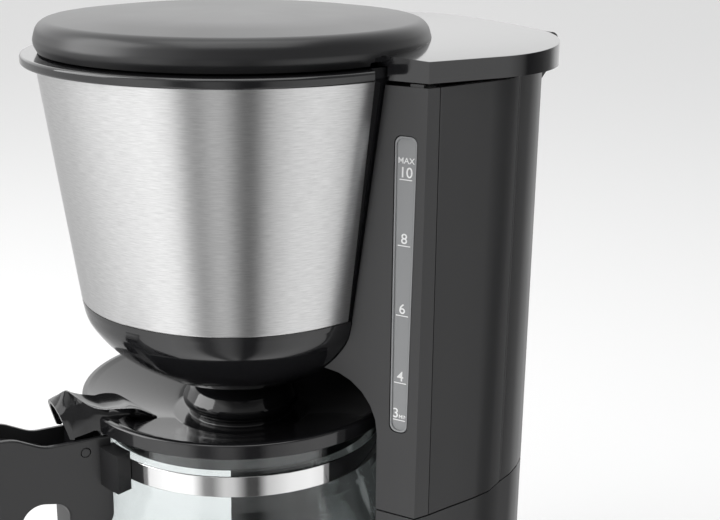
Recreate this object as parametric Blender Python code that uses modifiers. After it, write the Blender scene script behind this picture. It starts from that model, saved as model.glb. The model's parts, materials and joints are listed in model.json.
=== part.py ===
"""Drip coffee maker: a ten-cup machine with a steel-wrapped funnel, a rear water tank and a glass jug.

Metres, +Z up, the table at z = 0 and the front of the machine towards -Y. The sizes below are measured
from the vertical axis that the funnel, the jug and the hotplate share. The datum empty carries that axis to
its place, so that the whole machine is centred on the world origin.
"""

import math

import bmesh
import bpy
from mathutils import Matrix, Vector

# ---------------------------------------------------------------- driving sizes

GAP = 0.0003  # between pieces that touch
WALL = 0.0025  # moulded housings
THIN_WALL = 0.0020  # tank and filter basket

# heights above the table
FOOT_HEIGHT = 0.0040
DECK_Z = 0.0360  # top of the base around the hotplate
SEAM_Z = 0.1408  # joint between the base and the column
COLUMN_TOP_Z = 0.3165
FUNNEL_RIM_Z = 0.3232
RIM_THICKNESS = 0.0040
LID_SKIRT_Z = 0.3183
LID_REST_HEIGHT = 0.0012
LID_DECK_Z = 0.3264  # side edge of the deck over the tank
TOTAL_HEIGHT = 0.3400  # crown of the domed lid

# the column in plan, right half, measured at the seam
NICHE_RADIUS = 0.0790
FLANK_SLOPE = math.radians(30.7)  # the front faces fall back from the side corners
CORNER = (0.0898, 0.0355)
STRIP_DEPTH = 0.0071  # side return of the front frame
SIDE_FALL = [(0.0875, 0.0525), (0.0852, 0.0675), (0.0830, 0.0772)]  # from the strip back to the crease
BACK_RADIUS = 0.0620
BACK_CENTRE = (0.0200, 0.0632)
BACK_START = 22.0  # degrees, where the round back leaves the crease
COLUMN_SPREAD = 0.07  # growth of the half width for each metre of height
COLUMN_LEAN = 0.0085  # backward lean for each metre of height

# the base and the hotplate
BASE_RADIUS = 0.0900
HOTPLATE_RADIUS = 0.0660
HOTPLATE_PROUD = 0.0030
HOTPLATE_THICKNESS = 0.0012
HEATER_RADIUS = 0.0400
HEATER_LEG = 0.0300
HEATER_TUBE_RADIUS = 0.0045

# the funnel
FLANGE_RADIUS = 0.0864
FUNNEL_MOUTH_RADIUS = 0.0760
STEEL_TOP_RADIUS = 0.0805
STEEL_BOTTOM_RADIUS = 0.0668
STEEL_BOTTOM_Z = 0.2204
STEEL_THICKNESS = 0.0008
STEEL_END_ANGLE = 16.0  # degrees behind the side axis, on each side
BOWL_BOTTOM_Z = 0.1837
OUTLET_RADIUS = 0.0085

# the lid
DOME_RADIUS = 0.0813
DOME_BOTTOM_Z = 0.3238
LID_CORNER = (0.0913, 0.0370)
LID_PANEL_X = 0.0670  # inner end of the lid's flank panel
LID_BACK_RADIUS = 0.0580
LID_BACK_CENTRE = (0.0325, 0.0690)
LID_CROWN = 0.0030  # rise of the deck from its sides to the middle
LID_HINGE_Y = 0.1312
LID_HINGE_Z = 0.3243
LID_PIN_RADIUS = 0.0012
KNUCKLE_RADIUS = 0.0036
RECESS_LINE = [(0.0660, 0.0236), (0.0845, 0.0180)]  # behind it the rim steps back to show the flank panel
KNUCKLE_WIDTH = 0.0110
KNUCKLE_OFFSET = 0.0300  # the middle of each hinge from the mid plane

# the level window in the right-hand flank
WINDOW_BOTTOM_Z = 0.1770
WINDOW_TOP_Z = 0.2980
WINDOW_WIDTH_TOP = 0.0100
WINDOW_WIDTH_BOTTOM = 0.0082
WINDOW_FROM_CORNER = 0.0086  # from the corner to the middle of the window, along the flank
WINDOW_RECESS = 0.0008

# the jug
JUG_BOTTOM_Z = DECK_Z + HOTPLATE_PROUD + GAP
JUG_RADIUS = 0.0715
JUG_NECK_RADIUS = 0.0615
JUG_RIM_Z = 0.1696
GLASS = 0.0022
BAND_BOTTOM_Z = 0.1509
BAND_TOP_Z = 0.1598
BAND_THICKNESS = 0.0008
JUG_LID_RADIUS = 0.0690
JUG_LID_TOP_Z = 0.1764
HUB_TOP_Z = 0.1824
HUB_RADIUS = 0.0265
HUB_NECK_RADIUS = 0.0226
DISH_Z = 0.1640
HANDLE_HALF_WIDTH = 0.0105
HANDLE_FRONT = 0.1280
HANDLE_TOP_Z = 0.1690
HANDLE_BOTTOM_Z = 0.0560
SADDLE_ANGLE = 20.0  # degrees that the handle's saddle reaches round the neck, each way
LID_PIN_Y = -0.0750
LID_PIN_Z = 0.1625
LEVER_FOOT_Z = 0.1688
LEVER_HALF_WIDTH = 0.0102
LEVER_WALL = 0.0020
VENT_DIRECTION = math.radians(-24)
VENT_DEPTH = 0.0009

# the drip valve in the bottom of the filter basket
VALVE_STEM_RADIUS = 0.0028
VALVE_FOOT_Z = HUB_TOP_Z + 0.0004
BASKET_FLOOR_Z = 0.1885
SPRING_BOTTOM_Z = 0.1948
SPRING_TOP_Z = 0.2040
SPRING_TURNS = 5

# the rocker switch in the front of the base
SWITCH_Z = 0.0200
SWITCH_WIDTH = 0.0150
SWITCH_HEIGHT = 0.0105
SWITCH_TILT = 7.0  # degrees off level at rest

FOOT_RADIUS = 0.0080
FOOT_PLACES = [(-0.052, -0.056), (0.052, -0.056), (-0.062, 0.088), (0.062, 0.088)]
SCREW_PLACES = [(-0.032, -0.075), (0.032, -0.075), (-0.0765, 0.012), (0.0765, 0.012)]

BACK_Y = LID_HINGE_Y + KNUCKLE_RADIUS
DATUM_Y = (HANDLE_FRONT - BACK_Y) / 2

# ---------------------------------------------------------------- materials: colour, roughness, metallic

MATERIALS = {
    "gloss_black": ((0.012, 0.012, 0.013), 0.16, 0.0),
    "satin_black": ((0.030, 0.030, 0.032), 0.38, 0.0),
    "brushed_steel": ((0.62, 0.62, 0.62), 0.32, 1.0),
    "polished_steel": ((0.75, 0.75, 0.75), 0.12, 1.0),
    "glass": ((0.90, 0.92, 0.92), 0.03, 0.0),
    "window_grey": ((0.38, 0.39, 0.40), 0.25, 0.0),
    "translucent_tank": ((0.62, 0.63, 0.64), 0.40, 0.0),
    "silicone": ((0.70, 0.69, 0.66), 0.60, 0.0),
    "rubber": ((0.03, 0.03, 0.03), 0.80, 0.0),
    "aluminium": ((0.60, 0.61, 0.62), 0.40, 1.0),
    "hotplate_coating": ((0.040, 0.040, 0.042), 0.45, 0.2),
    "switch_red": ((0.45, 0.03, 0.02), 0.25, 0.0),
}

# ---------------------------------------------------------------- scene and helpers


def clear_scene():
    for obj in list(bpy.data.objects):
        bpy.data.objects.remove(obj, do_unlink=True)
    for collection in list(bpy.data.collections):
        bpy.data.collections.remove(collection)


def new_collection(name):
    collection = bpy.data.collections.new(name)
    bpy.context.scene.collection.children.link(collection)
    return collection


def make_material(name):
    colour, roughness, metallic = MATERIALS[name]
    material = bpy.data.materials.new(name)
    material.use_nodes = True
    shader = material.node_tree.nodes["Principled BSDF"]
    shader.inputs["Base Color"].default_value = (*colour, 1.0)
    shader.inputs["Roughness"].default_value = roughness
    shader.inputs["Metallic"].default_value = metallic
    if name == "glass":
        shader.inputs["Transmission Weight"].default_value = 1.0
    return material


def empty(name, y=0.0, z=0.0, parent=None):
    """An axis marker at rest, carried by the datum."""
    marker = bpy.data.objects.new(name, None)
    marker.empty_display_size = 0.02
    marker.location = (0.0, y, z)
    marker.parent = parent
    PARTS.objects.link(marker)
    return marker


def register(obj, name, material=None, carrier=None):
    """Names a piece, gives it its material and hangs it on the axis that it moves with."""
    obj.name = name
    obj.data.name = name
    if obj.name not in PARTS.objects:
        PARTS.objects.link(obj)
    carrier = carrier or DATUM
    obj.parent = carrier
    if carrier is not DATUM:
        obj.matrix_parent_inverse = Matrix.Translation(-carrier.location)
    obj.data.materials.clear()
    obj.data.materials.append(MADE[material])
    return obj


def helper(obj, name):
    """Turns an object into a cutter or a piece to be joined: it stays in the file, but not in the model."""
    obj.name = name
    if obj.name in PARTS.objects:
        PARTS.objects.unlink(obj)
    CUTTERS.objects.link(obj)
    obj.parent = DATUM
    obj.display_type = "WIRE"
    obj.hide_render = True
    return obj


def combine(target, other, operation):
    modifier = target.modifiers.new(f"{operation.lower()} {other.name}", "BOOLEAN")
    modifier.operation = operation
    modifier.object = other
    modifier.solver = "EXACT"
    return target


def cut(target, *cutters):
    for cutter in cutters:
        combine(target, cutter, "DIFFERENCE")
    return target


def join(target, *others):
    for other in others:
        combine(target, other, "UNION")
    return target


def smooth(obj, angle=35.0):
    obj.data.shade_smooth()
    obj.data.set_sharp_from_angle(angle=math.radians(angle))
    return obj


def rounded(points, steps=5):
    """A path whose corners that carry a radius, as (a, b, radius), become arcs."""
    path = []
    for index, point in enumerate(points):
        if len(point) == 2:
            path.append(Vector(point))
            continue
        here = Vector(point[:2])
        before = Vector(points[index - 1][:2]) - here
        after = Vector(points[(index + 1) % len(points)][:2]) - here
        half = before.angle(after) / 2
        reach = min(point[2] / math.tan(half), 0.49 * before.length, 0.49 * after.length)
        radius = reach * math.tan(half)
        start = here + before.normalized() * reach
        centre = here + (before.normalized() + after.normalized()).normalized() * (radius / math.sin(half))
        turn = (start - centre).angle_signed(here + after.normalized() * reach - centre)
        for step in range(steps + 1):
            path.append(centre + Matrix.Rotation(-turn * step / steps, 2) @ (start - centre))
    return path


def spline(points, steps=4):
    """A smooth path through the points, by Catmull and Rom."""
    points = [Vector(p) for p in points]
    ends = [2 * points[0] - points[1], *points, 2 * points[-1] - points[-2]]
    path = []
    for a, b, c, d in zip(ends, ends[1:], ends[2:], ends[3:]):
        for step in range(steps):
            t = step / steps
            square = (2 * a - 5 * b + 4 * c - d) * t**2
            cube = (3 * b - a - 3 * c + d) * t**3
            path.append(0.5 * (2 * b + (c - a) * t + square + cube))
    return [*path, points[-1]]


def arc(centre, radius, start, end, steps):
    """Points of an arc, from one angle to the other in degrees."""
    return [
        Vector((centre[0] + radius * math.cos(angle), centre[1] + radius * math.sin(angle)))
        for angle in (math.radians(start + (end - start) * step / steps) for step in range(steps + 1))
    ]


def area(path):
    return sum(a.x * b.y - b.x * a.y for a, b in zip(path, [*path[1:], path[0]])) / 2


def inset(path, distance):
    """A closed anticlockwise outline moved inwards by a distance, each edge parallel to itself."""
    moved = []
    count = len(path)
    for index in range(count):
        before, here, after = path[index - 1], path[index], path[(index + 1) % count]
        first = (here - before).normalized()
        second = (after - here).normalized()
        normal_one = Vector((-first.y, first.x))
        normal_two = Vector((-second.y, second.x))
        middle = normal_one + normal_two
        moved.append(here + middle * (distance / (1 + normal_one.dot(normal_two))))
    return moved


def mirrored(half):
    """A closed outline from its right half, which runs from the front to the back."""
    return [*half, *[Vector((-p.x, p.y)) for p in reversed(half) if p.x > 1e-6]]


def turned(name, profile, steps=48, sweep=360.0, start=0.0, axis_xy=(0.0, 0.0)):
    """A solid of revolution about a vertical axis: the profile is a list of (radius, height)."""
    profile = [Vector(p) for p in profile]
    touches_axis = profile[0].x < 1e-7 and profile[-1].x < 1e-7
    if area(profile) > 0:
        profile.reverse()
    mesh = bpy.data.meshes.new(name)
    edges = [(i, i + 1) for i in range(len(profile) - 1)]
    if not touches_axis:
        edges.append((len(profile) - 1, 0))
    mesh.from_pydata([(p.x, 0.0, p.y) for p in profile], edges, [])
    obj = bpy.data.objects.new(name, mesh)
    PARTS.objects.link(obj)
    obj.location = (*axis_xy, 0.0)
    obj.rotation_euler = (0.0, 0.0, math.radians(start))
    screw = obj.modifiers.new("turn", "SCREW")
    screw.angle = math.radians(sweep)
    screw.steps = steps
    screw.render_steps = steps
    screw.use_merge_vertices = True
    screw.merge_threshold = 1e-6
    screw.use_smooth_shade = True
    return obj


def ring(name, inner, outer, bottom, top, steps=48, axis_xy=(0.0, 0.0)):
    return turned(
        name, [(inner, top), (outer, top), (outer, bottom), (inner, bottom)], steps, axis_xy=axis_xy
    )


def disc(name, radius, bottom, top, steps=32, axis_xy=(0.0, 0.0)):
    return turned(
        name, [(0.0, top), (radius, top), (radius, bottom), (0.0, bottom)], steps, axis_xy=axis_xy
    )


def from_curve(curve_object, name):
    """The evaluated mesh of a curve, with its caps welded on."""
    bpy.context.view_layer.update()
    evaluated = curve_object.evaluated_get(bpy.context.evaluated_depsgraph_get())
    mesh = bpy.data.meshes.new_from_object(evaluated)
    build = bmesh.new()
    build.from_mesh(mesh)
    bmesh.ops.remove_doubles(build, verts=build.verts, dist=1e-6)
    bmesh.ops.recalc_face_normals(build, faces=build.faces)
    build.to_mesh(mesh)
    build.free()
    obj = bpy.data.objects.new(name, mesh)
    obj.matrix_world = curve_object.matrix_world
    PARTS.objects.link(obj)
    bpy.data.objects.remove(curve_object, do_unlink=True)
    return obj


def prism(name, outline, bottom, top):
    """A vertical prism on a flat outline."""
    curve = bpy.data.curves.new(name, "CURVE")
    curve.dimensions = "2D"
    curve.fill_mode = "BOTH"
    curve.extrude = (top - bottom) / 2
    line = curve.splines.new("POLY")
    line.points.add(len(outline) - 1)
    for point, place in zip(line.points, outline):
        point.co = (place[0], place[1], 0.0, 1.0)
    line.use_cyclic_u = True
    obj = bpy.data.objects.new(name, curve)
    obj.location.z = (top + bottom) / 2
    PARTS.objects.link(obj)
    made = from_curve(obj, name)
    made.data.transform(Matrix.Translation((0.0, 0.0, made.location.z)))
    made.location.z = 0.0
    return made


def side_prism(name, outline, half_width, middle=0.0):
    """A prism across the machine: the outline is a list of (y, z)."""
    obj = prism(name, outline, -half_width, half_width)
    # (y, z, x) to (x, y, z)
    obj.data.transform(Matrix(((0, 0, 1, middle), (1, 0, 0, 0), (0, 1, 0, 0), (0, 0, 0, 1))))
    return obj


def block(name, low, high):
    obj_mesh = bpy.data.meshes.new(name)
    build = bmesh.new()
    size = Vector(high) - Vector(low)
    middle = (Vector(high) + Vector(low)) / 2
    bmesh.ops.create_cube(
        build, size=1.0, matrix=Matrix.Translation(middle) @ Matrix.Diagonal((*size, 1.0))
    )
    build.to_mesh(obj_mesh)
    build.free()
    obj = bpy.data.objects.new(name, obj_mesh)
    PARTS.objects.link(obj)
    return obj


def rod(name, radius, start, end, segments=20):
    """A round bar between two points."""
    start, end = Vector(start), Vector(end)
    mesh = bpy.data.meshes.new(name)
    build = bmesh.new()
    bmesh.ops.create_cone(
        build, cap_ends=True, segments=segments, radius1=radius, radius2=radius, depth=(end - start).length
    )
    build.to_mesh(mesh)
    build.free()
    turn = (end - start).to_track_quat("Z", "Y").to_matrix().to_4x4()
    mesh.transform(Matrix.Translation((start + end) / 2) @ turn)
    obj = bpy.data.objects.new(name, mesh)
    PARTS.objects.link(obj)
    return obj


def tube(name, path, radius, resolution=2):
    """A solid bent bar along a smooth path."""
    curve = bpy.data.curves.new(name, "CURVE")
    curve.dimensions = "3D"
    curve.bevel_depth = radius
    curve.bevel_resolution = resolution
    curve.use_fill_caps = True
    line = curve.splines.new("POLY")
    line.points.add(len(path) - 1)
    for point, place in zip(line.points, path):
        point.co = (*place, 1.0)
    obj = bpy.data.objects.new(name, curve)
    PARTS.objects.link(obj)
    return from_curve(obj, name)


def spread(obj):
    """Gives a straight prism the column's draft: wider and further back with height."""
    for vertex in obj.data.vertices:
        rise = vertex.co.z - SEAM_Z
        vertex.co.x *= 1 + COLUMN_SPREAD * rise
        vertex.co.y += COLUMN_LEAN * rise
    return obj


# ---------------------------------------------------------------- outlines in plan


def flank_y(x):
    """The y of the right-hand flank face at an x."""
    return CORNER[1] + (x - CORNER[0]) * math.tan(FLANK_SLOPE)


def column_half(front_x=0.045):
    return [
        Vector((front_x, flank_y(front_x))),
        Vector(CORNER),
        Vector((CORNER[0] - 0.0006, CORNER[1] + STRIP_DEPTH)),
        *[Vector(p) for p in SIDE_FALL],
        *arc(BACK_CENTRE, BACK_RADIUS, BACK_START, 90, 8),
    ]


def base_half():
    return [*arc((0, 0), BASE_RADIUS, -90, 0, 14), *column_half()[1:]]


def lid_half():
    """The deck over the tank: it runs along the flank to the corner and round the back."""
    panel_y = LID_CORNER[1] - (LID_CORNER[0] - LID_PANEL_X) * math.tan(FLANK_SLOPE)
    return [
        Vector((LID_PANEL_X, panel_y)),
        Vector(LID_CORNER),
        *arc(LID_BACK_CENTRE, LID_BACK_RADIUS, 0, 90, 10),
    ]


def cone_radius(z):
    """The outer radius of the steel wrap at a height."""
    top = FUNNEL_RIM_Z - RIM_THICKNESS
    share = (z - STEEL_BOTTOM_Z) / (top - STEEL_BOTTOM_Z)
    return STEEL_BOTTOM_RADIUS + (STEEL_TOP_RADIUS - STEEL_BOTTOM_RADIUS) * share


def bowl_path(offset=0.0):
    """The bowl's outer curve from the steel down to the outlet, moved inwards by an offset."""
    z = BOWL_BOTTOM_Z
    points = [
        (0.0670, z + 0.0361), (0.0640, z + 0.0264), (0.0534, z + 0.0141), (0.0356, z + 0.0027), (0.0240, z)
    ]
    lift = offset
    return [Vector((p[0] - offset * (1 - i / 8), p[1] + lift * i / 4)) for i, p in enumerate(points)]


# ---------------------------------------------------------------- base


def niche_profile():
    """The space for the jug: a round recess with a rounded ceiling."""
    ceiling = BOWL_BOTTOM_Z + 0.0145
    return rounded(
        [(0.0, ceiling), (NICHE_RADIUS, ceiling, 0.024), (NICHE_RADIUS, DECK_Z), (0.0, DECK_Z)], 6
    )


def build_base():
    niche = helper(turned("niche", niche_profile(), 52), "niche_cutter")
    niche_core = helper(
        disc("niche_core", NICHE_RADIUS + WALL, 0.0, SEAM_Z + 0.001, 44), "niche_core"
    )
    housing = prism("base_housing", mirrored(base_half()), FOOT_HEIGHT, DECK_Z)
    pedestal = helper(
        spread(prism("pedestal", mirrored(column_half()), DECK_Z - 0.004, SEAM_Z - GAP)), "pedestal"
    )
    lower_room = helper(
        prism("lower_room", inset(mirrored(base_half()), WALL), -0.001, DECK_Z - WALL), "lower_room"
    )
    upper_room = helper(
        spread(prism("upper_room", inset(mirrored(column_half()), WALL), 0.010, SEAM_Z - GAP - WALL)),
        "upper_room",
    )
    cut(upper_room, niche_core)
    hose_holes = [
        helper(
            rod(f"hose_hole_{i}", 0.0068, (x, y, SEAM_Z - 0.006), (x, y, SEAM_Z + 0.002)), f"hose_hole_{i}"
        )
        for i, (x, y) in enumerate([RISER_XY, TANK_OUTLET_XY])
    ]
    plate_hole = helper(
        disc("plate_hole", HOTPLATE_RADIUS + 0.0012, DECK_Z - 0.006, DECK_Z + 0.002, 64), "plate_hole"
    )
    switch_hole = helper(
        block(
            "switch_hole",
            (-SWITCH_WIDTH / 2 - 0.0022, -BASE_RADIUS - 0.004, SWITCH_Z - SWITCH_HEIGHT / 2 - 0.0022),
            (SWITCH_WIDTH / 2 + 0.0022, -BASE_RADIUS + 0.012, SWITCH_Z + SWITCH_HEIGHT / 2 + 0.0022),
        ),
        "switch_hole",
    )
    gland_hole = helper(
        rod("gland_hole", 0.0058, (0.0, BACK_OF_BASE - 0.010, 0.020), (0.0, BACK_OF_BASE + 0.010, 0.020)),
        "gland_hole",
    )
    join(housing, pedestal)
    cut(housing, niche, lower_room, upper_room, plate_hole, switch_hole, gland_hole, *hose_holes)
    for index, place in enumerate(SCREW_PLACES):
        low = FOOT_HEIGHT + 0.0020 + GAP
        join(
            housing,
            helper(
                ring(f"boss_{index}", 0.0018, 0.0042, low, DECK_Z - WALL / 2, 12, place), f"boss_{index}"
            ),
        )
    register(smooth(housing), "base_housing", "satin_black")

    cover_outline = inset(mirrored(base_half()), WALL + GAP)
    cover = prism("bottom_cover", cover_outline, FOOT_HEIGHT, FOOT_HEIGHT + 0.0020)
    for index, (x, y) in enumerate(FOOT_PLACES):
        cut(cover, helper(disc(f"foot_seat_{index}", 0.0034, 0.0, 0.012, 16, (x, y)), f"foot_seat_{index}"))
    for index, (x, y) in enumerate(SCREW_PLACES):
        cut(
            cover,
            helper(disc(f"screw_seat_{index}", 0.0021, 0.0, 0.012, 16, (x, y)), f"screw_seat_{index}"),
        )
    register(cover, "bottom_cover", "satin_black")

    for index, (x, y) in enumerate(FOOT_PLACES):
        under = FOOT_HEIGHT - GAP
        over = FOOT_HEIGHT + 0.0020 + GAP
        profile = [
            (0.0, over + 0.0016), (0.0040, over + 0.0012), (0.0044, over), (0.0031, over), (0.0031, under),
            (FOOT_RADIUS, under), (FOOT_RADIUS - 0.0006, 0.0), (0.0, 0.0),
        ]
        register(turned("foot", profile, 16, axis_xy=(x, y)), f"foot_{index + 1}", "rubber")

    for index, (x, y) in enumerate(SCREW_PLACES):
        head = FOOT_HEIGHT - GAP
        profile = [
            (0.0, 0.0180), (0.0012, 0.0170), (0.0015, head), (0.0034, head), (0.0030, head - 0.0016),
            (0.0, head - 0.0016),
        ]
        register(turned("screw", profile, 12, axis_xy=(x, y)), f"base_screw_{index + 1}", "polished_steel")


def build_hotplate():
    top = DECK_Z + HOTPLATE_PROUD
    under = top - HOTPLATE_THICKNESS
    profile = rounded(
        [
            (0.0, top), (HOTPLATE_RADIUS, top, 0.0015), (HOTPLATE_RADIUS, DECK_Z - 0.004),
            (HOTPLATE_RADIUS - HOTPLATE_THICKNESS, DECK_Z - 0.004),
            (HOTPLATE_RADIUS - HOTPLATE_THICKNESS, under, 0.0006), (0.0, under),
        ],
        3,
    )
    register(turned("hotplate", profile, 44), "hotplate", "hotplate_coating")

    seal = [
        (HOTPLATE_RADIUS + GAP, DECK_Z + 0.0014), (HOTPLATE_RADIUS + 0.0030, DECK_Z + GAP),
        (HOTPLATE_RADIUS + 0.0009, DECK_Z + GAP), (HOTPLATE_RADIUS + 0.0009, DECK_Z - 0.0030),
        (HOTPLATE_RADIUS + GAP, DECK_Z - 0.0030),
    ]
    register(turned("hotplate_seal", seal, 44), "hotplate_seal", "rubber")

    heater_z = under - 0.0062
    bend = [(-HEATER_RADIUS, HEATER_LEG, heater_z)]
    bend += [(*p, heater_z) for p in arc((0.0, 0.0), HEATER_RADIUS, 180, 360, 20)]
    bend += [(HEATER_RADIUS, HEATER_LEG, heater_z)]
    register(smooth(tube("heater_tube", bend, HEATER_TUBE_RADIUS)), "heater_tube", "aluminium")
    clamp_radius = HEATER_RADIUS - HEATER_TUBE_RADIUS - GAP
    register(
        ring("heater_clamp", 0.0060, clamp_radius, heater_z - 0.0015, heater_z + 0.0015, 24),
        "heater_clamp",
        "aluminium",
    )
    register(
        disc("thermostat", 0.0070, under - GAP - 0.0080, under - GAP, 20, (0.0, -0.0537)),
        "thermostat",
        "aluminium",
    )
    fuse_z = under - GAP - 0.0022
    fuse = rod("thermal_fuse", 0.0022, (-0.014, 0.050, fuse_z), (0.014, 0.050, fuse_z), 12)
    register(smooth(fuse), "thermal_fuse", "silicone")


def build_switch():
    face = -BASE_RADIUS - 0.0010
    inner = (SWITCH_WIDTH / 2, SWITCH_HEIGHT / 2)
    bezel = block(
        "switch_bezel", (-inner[0] - 0.0018, face, SWITCH_Z - inner[1] - 0.0018),
        (inner[0] + 0.0018, face + 0.0110, SWITCH_Z + inner[1] + 0.0018),
    )
    window = helper(
        block(
            "bezel_window",
            (-inner[0], face - 0.002, SWITCH_Z - inner[1]),
            (inner[0], face + 0.0095, SWITCH_Z + inner[1]),
        ),
        "bezel_window",
    )
    register(cut(bezel, window), "switch_bezel", "gloss_black")

    half_height = inner[1] - 0.0010
    pivot_y = face + 0.0050
    nose = 0.0026
    outline = rounded(
        [
            (pivot_y - 0.0045, SWITCH_Z - half_height, 0.0006),
            (pivot_y + 0.0030, SWITCH_Z - half_height + 0.0020, 0.0006),
            (pivot_y + 0.0030, SWITCH_Z + half_height - 0.0020, 0.0006),
            (pivot_y - 0.0045, SWITCH_Z + half_height, 0.0006), (pivot_y - nose - 0.0008, SWITCH_Z, 0.004),
        ],
        3,
    )
    rocker = side_prism("rocker_switch", outline, inner[0] - 0.0008)
    about_pivot = Matrix.Translation((0.0, pivot_y, SWITCH_Z))
    rocker.data.transform(
        about_pivot @ Matrix.Rotation(math.radians(SWITCH_TILT), 4, "X") @ about_pivot.inverted()
    )
    axis = empty("switch_axis", pivot_y, SWITCH_Z, DATUM)
    register(rocker, "rocker_switch", "switch_red", axis)


def build_gland():
    y = BACK_OF_BASE
    gland = turned("cord_gland", [
        (0.0036, 0.0090), (0.0046, 0.0090), (0.0050, 0.0030), (0.0080, 0.0025), (0.0080, GAP),
        (0.0054, GAP), (0.0054, -0.0050), (0.0036, -0.0050),
    ], 24)
    gland.rotation_euler = (math.radians(-90), 0.0, 0.0)
    gland.location = (0.0, y, 0.020)
    register(gland, "cord_gland", "rubber")


# ---------------------------------------------------------------- column and tank

RISER_XY = (-0.0775, 0.0410)
TANK_OUTLET_XY = (0.0300, 0.0990)
BACK_OF_BASE = BACK_CENTRE[1] + BACK_RADIUS


def funnel_core(name, clearance, top):
    """The outer shape of the funnel and its bowl as one solid, grown by a clearance."""
    path = [Vector((p.x + clearance, p.y - clearance)) for p in spline(bowl_path())]
    profile = [
        (0.0, top), (cone_radius(top) + clearance, top), (STEEL_BOTTOM_RADIUS + clearance, STEEL_BOTTOM_Z)
    ]
    return turned(name, [*profile, *path, (0.0, BOWL_BOTTOM_Z - clearance)], 44)


def window_outline(grow=0.0):
    """The level window seen square on: a tapered slot with round corners, as (across, up)."""
    bottom, top = WINDOW_WIDTH_BOTTOM / 2 + grow, WINDOW_WIDTH_TOP / 2 + grow
    low, high = WINDOW_BOTTOM_Z - grow, WINDOW_TOP_Z + grow
    return rounded(
        [(-bottom, low, 0.003), (bottom, low, 0.003), (top, high, 0.003), (-top, high, 0.003)], 4
    )


def on_flank(name, outline, outer, inner):
    """A prism through the right-hand flank, between two depths measured square to its face."""
    obj = prism(name, outline, -inner, -outer)
    along = Vector((math.cos(FLANK_SLOPE), math.sin(FLANK_SLOPE), 0.0))
    outward = Vector((along.y, -along.x, 0.0))
    middle = Vector((*CORNER, 0.0)) - along * WINDOW_FROM_CORNER
    frame = Matrix((
        (along.x, 0.0, outward.x, middle.x),
        (along.y, 0.0, outward.y, middle.y),
        (0.0, 1.0, 0.0, 0.0),
        (0.0, 0.0, 0.0, 1.0),
    ))
    obj.data.transform(frame)
    return spread(obj)


def lid_rest(name, side):
    """A small pad on top of the front frame, under the lid's flank panel."""
    low, high = COLUMN_TOP_Z - 0.0010, COLUMN_TOP_Z + LID_REST_HEIGHT
    pad = on_flank(name, [(0.0010, low), (0.0066, low), (0.0066, high), (0.0010, high)], 0.0004, 0.0022)
    if side < 0:
        pad.data.transform(Matrix.Diagonal((-1.0, 1.0, 1.0, 1.0)))
        pad.data.flip_normals()
    return pad


def build_column():
    top = COLUMN_TOP_Z
    low = SEAM_Z + GAP
    seam_y = CORNER[1] + STRIP_DEPTH
    outline = mirrored(column_half())
    niche = bpy.data.objects["niche_cutter"]
    funnel = helper(funnel_core("funnel_cutter", GAP, top + 0.01), "funnel_cutter")

    front = spread(prism("column_front", outline, low, top))
    ceiling = BOWL_BOTTOM_Z + 0.0145 + WALL
    niche_skin = helper(
        turned(
            "niche_skin",
            rounded(
                [
                    (0.0, ceiling), (NICHE_RADIUS + WALL, ceiling, 0.0265),
                    (NICHE_RADIUS + WALL, low - 0.03), (0.0, low - 0.03),
                ],
                4,
            ),
            44,
        ),
        "niche_skin",
    )
    hollow = block("front_hollow", (-0.2, seam_y, low - 0.01), (0.2, 0.2, top + 0.01))
    room = helper(spread(prism("front_room", inset(outline, WALL), low - 0.01, top - WALL)), "front_room")
    join(hollow, room)
    cut(helper(hollow, "front_hollow"), niche_skin)
    cut(front, hollow)
    slot = helper(on_flank("window_slot", window_outline(), -0.01, 0.012), "window_slot")
    cut(front, niche, funnel, slot)
    for side in (-1, 1):
        join(front, helper(lid_rest(f"lid_rest_{side}", side), f"lid_rest_{side}"))
    register(smooth(front), "column_front", "satin_black")

    window = on_flank("level_window", window_outline(-GAP), WINDOW_RECESS, WALL + 0.0004)
    register(smooth(window), "level_window", "window_grey")

    shell = spread(prism("tank_shell", outline, low, top))
    ahead = helper(
        block("ahead_of_seam", (-0.2, -0.2, low - 0.01), (0.2, seam_y + GAP, top + 0.01)), "ahead_of_seam"
    )
    shell_room = helper(
        spread(prism("shell_room", inset(outline, WALL), low - 0.01, top + 0.01)), "shell_room"
    )
    cut(shell, ahead, shell_room)
    for side in (-1, 1):
        join(
            shell,
            helper(
                knuckle(f"shell_knuckle_{side}", side * (KNUCKLE_OFFSET + KNUCKLE_WIDTH / 2 + GAP), False),
                f"shell_knuckle_{side}",
            ),
        )
    pin_bore = helper(
        rod(
            "pin_bore",
            LID_PIN_RADIUS + 0.0003,
            (-0.06, LID_HINGE_Y, LID_HINGE_Z),
            (0.06, LID_HINGE_Y, LID_HINGE_Z),
            16,
        ),
        "pin_bore",
    )
    cut(shell, pin_bore)
    register(smooth(shell), "tank_shell", "satin_black")


def knuckle(name, middle, on_lid):
    """One leaf of the lid's hinge: an eye round the pin and the web that carries it."""
    y, z = LID_HINGE_Y, LID_HINGE_Z
    r = KNUCKLE_RADIUS
    if on_lid:
        back = LID_BACK_CENTRE[1] + LID_BACK_RADIUS - WALL / 2
        outline = [*arc((y, z), r, -90, 90, 8), Vector((back, z + r - 0.0014)), Vector((back, z - r))]
    else:
        wall = BACK_OF_BASE + COLUMN_LEAN * (COLUMN_TOP_Z - SEAM_Z)
        outline = [
            *arc((y, z), r, 0, 180, 8), Vector((y - r, COLUMN_TOP_Z - 0.0006)),
            Vector((wall - 0.0012, COLUMN_TOP_Z - 0.0012)), Vector((wall - 0.0012, COLUMN_TOP_Z - 0.0100)),
            Vector((y + r * 0.2, COLUMN_TOP_Z - 0.0020)),
        ]
    return side_prism(name, outline, KNUCKLE_WIDTH / 2, middle)


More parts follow.
